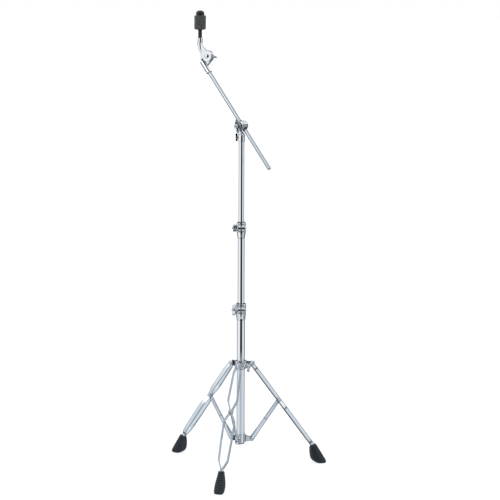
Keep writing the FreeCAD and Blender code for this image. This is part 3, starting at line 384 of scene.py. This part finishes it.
def smooth(me, value=True):
    me.polygons.foreach_set("use_smooth", [value] * len(me.polygons))


# carried-over CAD nodes: material, softened edges
BEVEL = {"chrome_cast": 0.8, "chrome_strip": 0.45, "chrome_tube": 0.0, "rivet_steel": 0.5, "steel": 0.3, "nylon": 0.25, "black_plastic": 0.35}
for n, o in nodes.items():
    paint(o, look_of(n))
    w = o.modifiers.new("weld", "WELD")
    w.merge_threshold = 2e-6
    width = BEVEL.get(slot_of[n], 0.3)
    if width:
        bv = o.modifiers.new("bevel", "BEVEL")
        bv.width = width * MM
        bv.segments = 3
        bv.limit_method = "ANGLE"
        bv.angle_limit = math.radians(38)
        bv.use_clamp_overlap = True
        bv.harden_normals = False
    smooth(o.data)
    wn = o.modifiers.new("normals", "WEIGHTED_NORMAL")
    wn.mode = "FACE_AREA_WITH_ANGLE"
    wn.weight = 60


# ------------------------------------------------------------------ mesh helpers
def make(name, verts, faces, mat, body, replaces=(), place=None):
    me = bpy.data.meshes.new(name)
    me.from_pydata([tuple(v) for v in verts], [], faces)
    me.update()
    o = bpy.data.objects.new(name, me)
    bpy.context.scene.collection.objects.link(o)
    if place is not None:
        me.transform(place)
    smooth(me)
    me.materials.append(mat)
    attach(o, body)
    if replaces:
        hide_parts(*replaces)
    return o


def basis(axis, up=(0, 0, 1)):
    z = Vector(axis).normalized()
    x = Vector(up).cross(z)
    if x.length < 1e-6:
        x = Vector((1, 0, 0)).cross(z)
    x.normalize()
    y = z.cross(x)
    return x, y, z


def placed(origin, x, y, z):
    return Matrix(((x[0], y[0], z[0], origin[0]), (x[1], y[1], z[1], origin[1]), (x[2], y[2], z[2], origin[2]), (0, 0, 0, 1)))


def lathe_verts(profile, seg, fn=None):
    """profile: (radius, z) from the bottom axis point to the top axis point; closed by poles if the radius is 0."""
    verts, faces, rings = [], [], []
    for r, z in profile:
        if r < 1e-7:
            rings.append([len(verts)])
            verts.append((0, 0, z))
        else:
            ring = []
            for k in range(seg):
                a = 2 * math.pi * k / seg
                rr = r * (fn(a, r, z) if fn else 1)
                ring.append(len(verts))
                verts.append((rr * math.cos(a), rr * math.sin(a), z))
            rings.append(ring)
    for a, b in zip(rings, rings[1:]):
        if len(a) == 1 and len(b) == 1:
            continue
        for k in range(seg):
            k2 = (k + 1) % seg
            if len(a) == 1:
                faces.append((a[0], b[k2], b[k]))
            elif len(b) == 1:
                faces.append((a[k], a[k2], b[0]))
            else:
                faces.append((a[k], a[k2], b[k2], b[k]))
    return verts, faces


# ------------------------------------------------------------------ rubber feet
# the side outline as pairs of points (radius, height) from the sole to the top, inner then outer, with the half width (mm)
FOOT = [((281.0, 0.05), (306.0, 0.05), 13.2), ((277.2, 1.0), (309.6, 1.1), 15.4), ((271.0, 3.8), (311.7, 3.6), 17.0), ((264.2, 8.0), (311.9, 7.6), 18.0), ((258.3, 13.2), (309.3, 12.3), 18.5),
        ((254.9, 19.0), (305.4, 18.6), 18.5), ((253.2, 26.0), (300.0, 27.2), 17.9), ((252.1, 34.0), (294.0, 37.0), 16.5), ((251.2, 42.0), (288.1, 46.6), 14.8), ((250.9, 50.0), (282.4, 56.0), 12.9),
        ((251.6, 56.5), (278.3, 62.6), 11.6), ((253.4, 60.2), (275.6, 66.2), 11.0)]


def foot(name, angle):
    seg, fine = 120, 120
    src = np.array([(a[0], a[1], b[0], b[1], w) for a, b, w in FOOT])
    gap = np.r_[0, np.cumsum(np.hypot(np.diff(src[:, 2]), np.diff(src[:, 3])) + 0.3)]
    at = np.linspace(0, gap[-1], fine)
    lv = np.stack([np.interp(at, gap, src[:, k]) for k in range(5)], 1)
    for _ in range(14):
        lv[2:-1] = (lv[1:-2] + lv[2:-1] * 2 + lv[3:]) / 4
    path = np.r_[0, np.cumsum(np.hypot(np.diff(lv[:, 2]), np.diff(lv[:, 3])))]
    rows = [(lv[k, 0:2], lv[k, 2:4], lv[k, 4], path[k]) for k in range(fine)]
    # rounded shoulder above the last pair
    a, b, w, run = rows[-1]
    up = np.array([-(b - a)[1], (b - a)[0]]) / np.linalg.norm(b - a)
    for k in range(1, 9):
        t = k / 8 * math.pi / 2
        inset = 2.6 * (1 - math.cos(t))
        e = (b - a) / np.linalg.norm(b - a)
        rows.append((a + e * inset + up * 2.4 * math.sin(t), b - e * inset + up * 2.4 * math.sin(t), w - inset * 0.8, run + 2.4 * math.sin(t)))
    verts, faces = [], []
    total = path[-1]
    for a, b, w, run in rows:
        c, half = (a + b) / 2, np.linalg.norm(b - a) / 2
        e = (b - a) / (2 * half)
        out_n = np.array([e[1], -e[0]])
        for k in range(seg):
            t = 2 * math.pi * k / seg
            ct, st = math.cos(t), math.sin(t)
            p = 3.1
            d = (abs(ct) ** p + abs(st) ** p) ** (-1 / p)
            cu, cv = ct * d, st * d
            # raised ribs across the outer face and round its edges, fading towards the heel; a plain panel on each side
            band = 0.5 - 0.5 * math.cos(2 * math.pi * (run - 2.0) / 8.2)
            band = min(1, max(0, (band - 0.25) / 0.35))
            band = band * band * (3 - 2 * band)
            front = min(1.0, max(0.0, (cu - 0.05) / 0.22))
            heel = 0.5 * min(1.0, max(0.0, (-cu - 0.6) / 0.25))
            flank = min(1.0, max(0.0, (abs(cv) - 0.78) / 0.1)) * min(1.0, max(0.0, (0.62 - abs(cu + 0.14)) / 0.10))
            fade = min(1, max(0, (run - 4.0) / 3)) * min(1, max(0, (total - 1.5 - run) / 3))
            depth = 2.3 * (1 - band) * max(front, heel) * fade
            panel = 0.9 * flank * (1 - front) * fade * min(1, max(0, (run - 10) / 3)) * min(1, max(0, (total - 5 - run) / 3))
            q = c + e * cu * (half - depth * abs(cu))
            wide = w * (0.945 + 0.075 * cu)
            verts.append((q[0] * MM, cv * (wide - depth * abs(cv) - panel) * MM, max(0.0, q[1]) * MM))
    n_l = len(rows)
    for li in range(n_l - 1):
        for k in range(seg):
            k2 = (k + 1) % seg
            o = li * seg
            faces.append((o + k, o + k2, o + seg + k2, o + seg + k))

    def cap(first, flip, lift):
        rings = [list(range(first, first + seg))]
        cen = [sum(verts[i][j] for i in rings[0]) / seg for j in range(3)]
        for f, d in ((0.84, 0.0), (0.8, lift), (0.5, lift), (0.25, lift)):
            r = []
            for i in rings[0]:
                v = verts[i]
                r.append(len(verts))
                verts.append((cen[0] + (v[0] - cen[0]) * f, cen[1] + (v[1] - cen[1]) * f, cen[2] + (v[2] - cen[2]) * f + d))
            rings.append(r)
        mid = len(verts)
        verts.append((cen[0], cen[1], cen[2] + lift))
        for p, q in zip(rings, rings[1:]):
            for k in range(seg):
                k2 = (k + 1) % seg
                faces.append((p[k], q[k], q[k2], p[k2]) if flip else (p[k], p[k2], q[k2], q[k]))
        for k in range(seg):
            k2 = (k + 1) % seg
            faces.append((rings[-1][k], mid, rings[-1][k2]) if flip else (rings[-1][k], rings[-1][k2], mid))

    cap(0, True, 0.0008)
    cap((n_l - 1) * seg, False, 0.0)
    t = math.radians(angle)
    place = Matrix(((math.cos(t), -math.sin(t), 0, 0), (math.sin(t), math.cos(t), 0, 0), (0, 0, 1, 0), (0, 0, 0, 1)))
    return make(name + "_foot_rubber", verts, faces, RUBBER, name + "_leg", (name + "_rubber_foot",), place)


for name, angle in ANG.items():
    foot(name, angle)


# ------------------------------------------------------------------ cymbal seat: felts, sleeve, knob
def turned_piece(name, node, profile, seg, mat, body, fn=None, warp=None):
    """A lathe piece about the node's own vertical axis; the profile is (radius, height) in mm, heights in the row frame."""
    lo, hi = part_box(node)
    cx, cy = (lo.x + hi.x) / 2, (lo.y + hi.y) / 2
    v, f = lathe_verts([(r * MM, z * MM) for r, z in profile], seg, fn)
    if warp:
        v = [warp(Vector(p)) for p in v]
    return make(name, v, f, mat, body, (node,), Matrix.Translation((cx, cy, 0)))


def dense(points, step):
    out = []
    for (r0, z0), (r1, z1) in zip(points, points[1:]):
        n = max(1, int(math.ceil(math.hypot(r1 - r0, z1 - z0) / step)))
        out += [(r0 + (r1 - r0) * k / n, z0 + (z1 - z0) * k / n) for k in range(n)]
    return out + [points[-1]]


def rounded(points, radius, n=6):
    """Rounds the corners of an open outline."""
    pts = [Vector((p[0], p[1])) for p in points]
    out = [pts[0]]
    for a, b, c in zip(pts, pts[1:], pts[2:]):
        r = min(radius, (a - b).length * 0.45, (c - b).length * 0.45)
        p, q = b + (a - b).normalized() * r, b + (c - b).normalized() * r
        for k in range(n + 1):
            t = k / n
            out.append(p * (1 - t) ** 2 + b * 2 * t * (1 - t) + q * t * t)
    out.append(pts[-1])
    return [(p.x, p.y) for p in out]


def closed_ring(name, node, outline_pts, seg, mat, body, warp=None):
    """A closed ring section (mm) turned about the node's vertical axis."""
    lo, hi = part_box(node)
    cx, cy = (lo.x + hi.x) / 2, (lo.y + hi.y) / 2
    n = len(outline_pts)
    verts, faces = [], []
    for k in range(seg):
        a = 2 * math.pi * k / seg
        for r, z in outline_pts:
            p = Vector((r * math.cos(a), r * math.sin(a), z)) * MM
            verts.append(warp(p, r) if warp else p)
    for k in range(seg):
        k2 = (k + 1) % seg
        for i in range(n):
            i2 = (i + 1) % n
            faces.append((k * n + i, k2 * n + i, k2 * n + i2, k * n + i2))
    return make(name, verts, faces, mat, body, (node,), Matrix.Translation((cx, cy, 0)))


def felt_piece(name, node, seed, body, bulge):
    lo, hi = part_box(node)
    z0, z1 = lo.z / MM, hi.z / MM
    r1, r0 = (hi.x - lo.x) / 2 / MM + 0.15, 7.25
    section = rounded([((r0 + r1) / 2, z0), (r1 - 0.5, z0), (r1 + 0.1, z0 + 0.8), (r1, (z0 + z1) / 2), (r1 + 0.05, z1 - 0.9), (r1 - 0.9, z1), (r0, z1), (r0, z0), ((r0 + r1) / 2, z0)], 2.0)
    section = dense(section, 0.42)[:-1]
    off = Vector((seed, seed * 0.7, -seed))

    def warp(p, r):
        if r < r0 + 0.6:
            return p
        q = p * 1000
        big = noise.noise(q * 0.11 + off) * 0.32
        mid = noise.noise(q * Vector((0.55, 0.55, 0.9)).length * 0.42 + off * 2) * 0.20
        fine = noise.noise(q * 1.9 + off * 3) * 0.26 + noise.noise(q * 4.3 + off * 5) * 0.16
        # laid fibres run round the felt
        strand = noise.noise(Vector((q.x * 0.35, q.y * 0.35, q.z * 2.6)) + off * 7) * 0.22
        h = (big + mid + fine + strand) * MM
        radial = Vector((p.x, p.y, 0)).normalized()
        sidey = min(1.0, max(0.0, (r - (r1 - 1.6)) / 1.6))
        cap_dir = 1 if p.z > (lo.z + hi.z) / 2 else -1
        d = radial * sidey + Vector((0, 0, cap_dir * (1 - sidey)))
        keep = h if sidey > 0.5 else min(h, 0.0) if cap_dir < 0 or True else h
        return p + d * keep

    return closed_ring(name, node, section, 260, FELT, body, warp)


felt_piece("lower_felt_wool", "lower_felt", 3.1, "cymbal_arm", 0.2)
felt_piece("upper_felt_wool", "upper_felt", 8.7, "upper_felt", 0.2)

# ribbed sleeve on the post
lo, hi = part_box("cymbal_sleeve")
z0, z1 = lo.z / MM, hi.z / MM
flange = [(4.3, z0), (7.4, z0), (7.5, z0 + 2.2)]
zz = z0 + 2.2
outer = list(flange)
while zz < z0 + 28:
    outer += [(6.75, zz + 0.5), (6.75, zz + 1.9), (7.25, zz + 2.5), (7.25, zz + 3.3)]
    zz += 3.6
top_z = z1
f_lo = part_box("lower_felt")[0].z / MM
outer += [(6.9, f_lo - 3.4), (10.8, f_lo - 2.7), (10.8, f_lo - 1.7), (6.9, f_lo - 1.6), (6.9, top_z - 1), (6.1, top_z), (4.3, top_z)]
section = dense(rounded(outer, 0.5, 4), 1.0)
closed_ring("cymbal_sleeve_ribbed", "cymbal_sleeve", section, 96, BLACK, "cymbal_arm")

# knob: a fluted cap with a domed crown and a shallow round recess on top
lo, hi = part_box("cymbal_nut")
z0, z1 = lo.z / MM, hi.z / MM


def flutes(a, r, z):
    rr = r / MM
    if rr < 9:
        return 1
    k = min(1, (rr - 9) / 4)
    w = 0.5 + 0.5 * math.cos(6 * a)
    return 1 - 0.06 * k * (1 - w) ** 1.6


prof = [(4.2, z0), (13.4, z0), (14.6, z0 + 0.9), (15.0, z0 + 2.4), (14.9, z0 + 8.5), (14.2, z1 - 6.0), (12.4, z1 - 3.6), (9.2, z1 - 2.0), (6.4, z1 - 0.7), (5.2, z1 - 0.1), (4.3, z1), (3.6, z1 - 0.3), (3.4, z1 - 1.4), (0, z1 - 1.5)]
prof = [(0, z0)] + dense(rounded(prof, 1.0, 5), 0.8)
turned_piece("cymbal_knob", "cymbal_nut", prof, 144, BLACK, "cymbal_nut", flutes)


# ------------------------------------------------------------------ wing nuts: hub and two dished wings, one smooth casting
def fused(name, parts, voxel, relax, mat, body, replaces, place):
    """Joins closed shells into one cast-looking skin."""
    verts, faces = [], []
    for v, f in parts:
        base = len(verts)
        verts += [tuple(p) for p in v]
        faces += [tuple(i + base for i in q) for q in f]
    me = bpy.data.meshes.new(name + "_raw")
    me.from_pydata(verts, [], faces)
    me.update()
    o = bpy.data.objects.new(name, me)
    bpy.context.scene.collection.objects.link(o)
    r = o.modifiers.new("r", "REMESH")
    r.mode = "VOXEL"
    r.voxel_size = voxel
    r.adaptivity = 0
    s = o.modifiers.new("s", "SMOOTH")
    s.factor = 0.5
    s.iterations = relax
    dg = bpy.context.evaluated_depsgraph_get()
    out = bpy.data.meshes.new_from_object(o.evaluated_get(dg))
    o.modifiers.clear()
    o.data = out
    out.name = name
    out.transform(place)
    smooth(out)
    out.materials.clear()
    out.materials.append(mat)
    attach(o, body)
    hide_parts(*replaces)
    return o


def wing_plate(reach, root, tip, thick, full=False):
    """One wing as a closed shell in the XZ plane, thicker at its rim, as local mm."""
    verts, faces = [], []
    a, c = root
    p, q = tip
    na, nb = 22, 12
    grid = {}
    for i in range(na + 1):
        t = i / na
        x = 1.0 + (reach - 1.0) * t
        # lower and upper edge of the wing at this x
        ease = t * t * (3 - 2 * t)
        lo = a + (p - a) * ease
        hi = c + (q - c) * (t ** 1.9 if full else ease)
        # rounded tip
        if t > 0.72:
            k = (t - 0.72) / 0.28
            sh = 1 - math.sqrt(max(0, 1 - k * k))
            mid = (lo + hi) / 2
            lo = lo + (mid - lo) * sh
            hi = hi + (mid - hi) * sh
        for j in range(nb + 1):
            w = j / nb
            z = lo + (hi - lo) * w
            rim = max(abs(w - 0.5) * 2, max(0, (t - 0.6) / 0.4)) ** 3
            half = thick * (0.32 + 0.16 * rim)
            for sgn in (1, -1):
                grid[(i, j, sgn)] = len(verts)
                verts.append((x, sgn * half, z))
    for i in range(na):
        for j in range(nb):
            for sgn in (1, -1):
                q4 = (grid[(i, j, sgn)], grid[(i + 1, j, sgn)], grid[(i + 1, j + 1, sgn)], grid[(i, j + 1, sgn)])
                faces.append(q4 if sgn < 0 else q4[::-1])
    for i in range(na):
        for j, fl in ((0, True), (nb, False)):
            q4 = (grid[(i, j, 1)], grid[(i + 1, j, 1)], grid[(i + 1, j, -1)], grid[(i, j, -1)])
            faces.append(q4 if fl else q4[::-1])
    for j in range(nb):
        for i, fl in ((0, False), (na, True)):
            q4 = (grid[(i, j, 1)], grid[(i, j + 1, 1)], grid[(i, j + 1, -1)], grid[(i, j, -1)])
            faces.append(q4[::-1] if fl else q4)
    return verts, faces


def wing_piece(node, origin, axis, way, hub_r, hub_l, root, tip, reach, thick, body, full=False, shank=None):
    """Hub along the axis with a wing on both sides; way is the direction in which the first wing points."""
    z = Vector(axis).normalized()
    x = (Vector(way) - z * Vector(way).dot(z)).normalized()
    y = z.cross(x)
    m = Matrix(((x.x, y.x, z.x, origin[0]), (x.y, y.y, z.y, origin[1]), (x.z, y.z, z.z, origin[2]), (0, 0, 0, 1)))
    foot_r = [(0, 0.05)] if not shank else [(0, -shank[1]), (shank[0] - 0.7, -shank[1]), (shank[0], -shank[1] + 0.9), (shank[0], 0.05)]
    prof = foot_r + [(hub_r - 0.6, 0.05), (hub_r, 0.9), (hub_r, 2.2), (hub_r * 0.9, 3.2), (hub_r * 0.86, hub_l * 0.5), (hub_r * 0.93, hub_l - 3), (hub_r * 0.78, hub_l - 0.8), (hub_r * 0.62, hub_l), (0, hub_l - 0.3)]
    hv, hf = lathe_verts(prof, 48)
    wv, wf = wing_plate(reach, root, tip, thick, full)
    w2 = [(-q[0], -q[1], q[2]) for q in wv]
    parts = [([tuple(c * MM for c in q) for q in vs], fs) for vs, fs in ((hv, hf), (wv, wf), (w2, wf))]
    return fused(node + "_cast", parts, 0.00055, 5, CHROME_WING, body, (node,), m)


def upright(spin):
    a = math.radians(spin)
    return (0, math.sin(a), math.cos(a))


wing_piece("base_clamp_wing_nut", (-0.01095, -0.026, 0.561), (-1, 0, 0), upright(48), 8, 19, (5, 18), (7.6, 20.5), 22.4, 5.6, "base_wing")
wing_piece("middle_clamp_wing_nut", (-0.01095, -0.0235, 0.848), (-1, 0, 0), upright(131), 8, 17.5, (4, 16.5), (6, 18.5), 20.9, 5.4, "middle_wing")
wing_piece("boom_wing_nut", (-0.010439, -0.014909, 1.2063), (-0.573576, -0.819152, 0), (0.114004, -0.079826, -0.990268), 9, 20, (3.6, 18.8), (3.4, 12.5), 23.9, 6.4, "boom_wing", True)
wing_piece("cymbal_tilter_wing_nut", (-0.11488, 0.098141, 1.447259), (0.573576, 0.819152, 0), (0.79124, -0.554032, -0.258819), 8, 17, (4.4, 15), (8.4, 19), 21.9, 5.6, "tilter_wing")
wing_piece("leg_collar_wing_bolt", (0.022891, -0.021347, 0.364437), (0.731354, -0.681998, 0), (0.498782, 0.534878, 0.681998), 7.5, 14, (3.5, 12), (12, 23.6), 23.4, 5.6, node_body["leg_collar_wing_bolt"], False, (3.85, 16.5))

size = {"cad": [list(cad_low), list(cad_high)]}

# ------------------------------------------------------------------ stage, light, camera
def azimuth_colour(nt, vec):
    """Studio surround as a colour by compass angle: open white to the left, dark gap at the front, blue-grey to the right."""
    sep = nt.nodes.new("ShaderNodeSeparateXYZ")
    nt.links.new(vec, sep.inputs[0])
    neg = nt.nodes.new("ShaderNodeMath")
    neg.operation = "MULTIPLY"
    neg.inputs[1].default_value = -1
    nt.links.new(sep.outputs["Y"], neg.inputs[0])
    at2 = nt.nodes.new("ShaderNodeMath")
    at2.operation = "ARCTAN2"
    nt.links.new(sep.outputs["X"], at2.inputs[0])
    nt.links.new(neg.outputs[0], at2.inputs[1])
    mr = nt.nodes.new("ShaderNodeMapRange")
    mr.inputs["From Min"].default_value = -math.pi
    mr.inputs["From Max"].default_value = math.pi
    nt.links.new(at2.outputs[0], mr.inputs["Value"])
    d = lambda deg: deg / 360 + 0.5
    stops = [(-180, (0.24, 0.25, 0.27)), (-148, (0.22, 0.23, 0.25)), (-124, (0.50, 0.52, 0.56)), (-98, (0.92, 0.93, 0.95)), (-29, (1.0, 1.0, 1.0)), (-22, (0.022, 0.024, 0.028)),
             (33, (0.022, 0.024, 0.028)), (41, (0.74, 0.80, 0.85)), (58, (0.86, 0.91, 0.96)), (84, (0.80, 0.85, 0.91)), (112, (0.32, 0.35, 0.39)), (146, (0.20, 0.22, 0.25)), (180, (0.24, 0.25, 0.27))]
    return ramp(nt, mr.outputs[0], [(d(a), c) for a, c in stops]).outputs[0], sep


FLOOR_WHITE = 1.0
floor_me = bpy.data.meshes.new("floor")
ring, fv, ff = [0.0, 0.4, 0.8, 1.6, 3, 6, 12, 30, 80], [], []
for r in ring:
    for k in range(48):
        fv.append((r * math.cos(2 * math.pi * k / 48), r * math.sin(2 * math.pi * k / 48), 0.0))
for i in range(1, len(ring) - 1):
    for k in range(48):
        k2 = (k + 1) % 48
        ff.append((i * 48 + k, (i + 1) * 48 + k, (i + 1) * 48 + k2, i * 48 + k2))
ff.append(tuple(48 + k for k in range(48)))
floor_me.from_pydata(fv, [], ff)
floor = bpy.data.objects.new("floor", floor_me)
bpy.context.scene.collection.objects.link(floor)
fm, nt, fb = new_mat("studio_floor")
fout = [n for n in nt.nodes if n.type == "OUTPUT_MATERIAL"][0]
fb.inputs["Base Color"].default_value = (0.30, 0.30, 0.30, 1)
fb.inputs["Roughness"].default_value = 1.0
fb.inputs["Specular IOR Level"].default_value = 0.0
glow = nt.nodes.new("ShaderNodeEmission")
glow.inputs["Color"].default_value = (1, 1, 1, 1)
glow.inputs["Strength"].default_value = 0.80
seen = nt.nodes.new("ShaderNodeAddShader")
nt.links.new(fb.outputs[0], seen.inputs[0])
nt.links.new(glow.outputs[0], seen.inputs[1])
geo = nt.nodes.new("ShaderNodeNewGeometry")
col, _ = azimuth_colour(nt, geo.outputs["Position"])
mirror = nt.nodes.new("ShaderNodeEmission")
# near the stand the floor is pale all round; the studio's dark gap begins further out
dist = nt.nodes.new("ShaderNodeVectorMath")
dist.operation = "LENGTH"
nt.links.new(geo.outputs["Position"], dist.inputs[0])
reach = nt.nodes.new("ShaderNodeMapRange")
reach.inputs["From Min"].default_value = 1.40
reach.inputs["From Max"].default_value = 1.80
nt.links.new(dist.outputs["Value"], reach.inputs["Value"])
near = mix_rgb(nt, 0.22, (0.72, 0.77, 0.82), col)
nt.links.new(mix_rgb(nt, reach.outputs[0], near, col), mirror.inputs["Color"])
mirror.inputs["Strength"].default_value = 0.92
lp = nt.nodes.new("ShaderNodeLightPath")
pick = nt.nodes.new("ShaderNodeMixShader")
nt.links.new(lp.outputs["Is Camera Ray"], pick.inputs[0])
nt.links.new(mirror.outputs[0], pick.inputs[1])
nt.links.new(seen.outputs[0], pick.inputs[2])
nt.links.new(pick.outputs[0], fout.inputs[0])
floor_me.materials.append(fm)

world = bpy.data.worlds.new("studio")
bpy.context.scene.world = world
world.use_nodes = True
nt = world.node_tree
nt.nodes.clear()
out = nt.nodes.new("ShaderNodeOutputWorld")
bg = nt.nodes.new("ShaderNodeBackground")
nt.links.new(bg.outputs[0], out.inputs[0])
tc = nt.nodes.new("ShaderNodeTexCoord")
col, sep = azimuth_colour(nt, tc.outputs["Generated"])
# an overhead softbox takes over away from the horizon
el = ramp(nt, sep.outputs["Z"], [(0.0, 0.0), (0.15, 0.0), (0.27, 1.0)])
mixed = mix_rgb(nt, el.outputs[0], col, (0.95, 0.97, 1.0))
lp = nt.nodes.new("ShaderNodeLightPath")
nt.links.new(mix_rgb(nt, lp.outputs["Is Camera Ray"], mixed, (1, 1, 1)), bg.inputs["Color"])
bg.inputs["Strength"].default_value = 1.0


def area(name, loc, look, size_m, power):
    l = bpy.data.lights.new(name, "AREA")
    l.shape = "RECTANGLE"
    l.size, l.size_y = size_m
    l.energy = power
    o = bpy.data.objects.new(name, l)
    o.location = loc
    o.rotation_euler = (Vector(look) - Vector(loc)).to_track_quat("-Z", "Y").to_euler()
    bpy.context.scene.collection.objects.link(o)
    o.visible_camera = False
    return o


area("key_softbox", (-3.2, -2.6, 3.2), (0, 0, 0.8), (1.6, 2.4), 18)
area("fill_softbox", (3.4, -2.0, 1.8), (0, 0, 0.8), (1.2, 2.4), 6)

cam = bpy.data.cameras.new("camera")
cam_o = bpy.data.objects.new("camera", cam)
bpy.context.scene.collection.objects.link(cam_o)
S = 3.53
DIST = 1550
cam_o.location = (0, -DIST * S * MM, 1.690)
cam_o.rotation_euler = (math.pi / 2, math.radians(-0.2), 0)
cam.sensor_width = 36
cam.lens = 36 * DIST / 500
# the lens is shifted only from the photograph's own viewpoint; a camera moved anywhere else looks straight through its centre
for k, amount in (("shift_x", (250 - 242.1) / 500), ("shift_y", (467.3 - 1690 / S - 250) / 500)):
    setattr(cam, k, amount)
    drive = cam.driver_add(k).driver
    drive.type = "SCRIPTED"
    for word, channel in (("px", "LOC_X"), ("py", "LOC_Y"), ("pz", "LOC_Z")):
        var = drive.variables.new()
        var.name = word
        var.type = "TRANSFORMS"
        var.targets[0].id = cam_o
        var.targets[0].transform_type = channel
        var.targets[0].transform_space = "WORLD_SPACE"
    drive.expression = "%.6f if abs(px) + abs(py + %.5f) + abs(pz - 1.69) < 0.002 else 0" % (amount, DIST * S * MM)
cam.clip_end = 200
bpy.context.scene.camera = cam_o
vs = bpy.context.scene.view_settings
vs.view_transform = "Standard"
vs.look = "None"
vs.exposure = 0.0
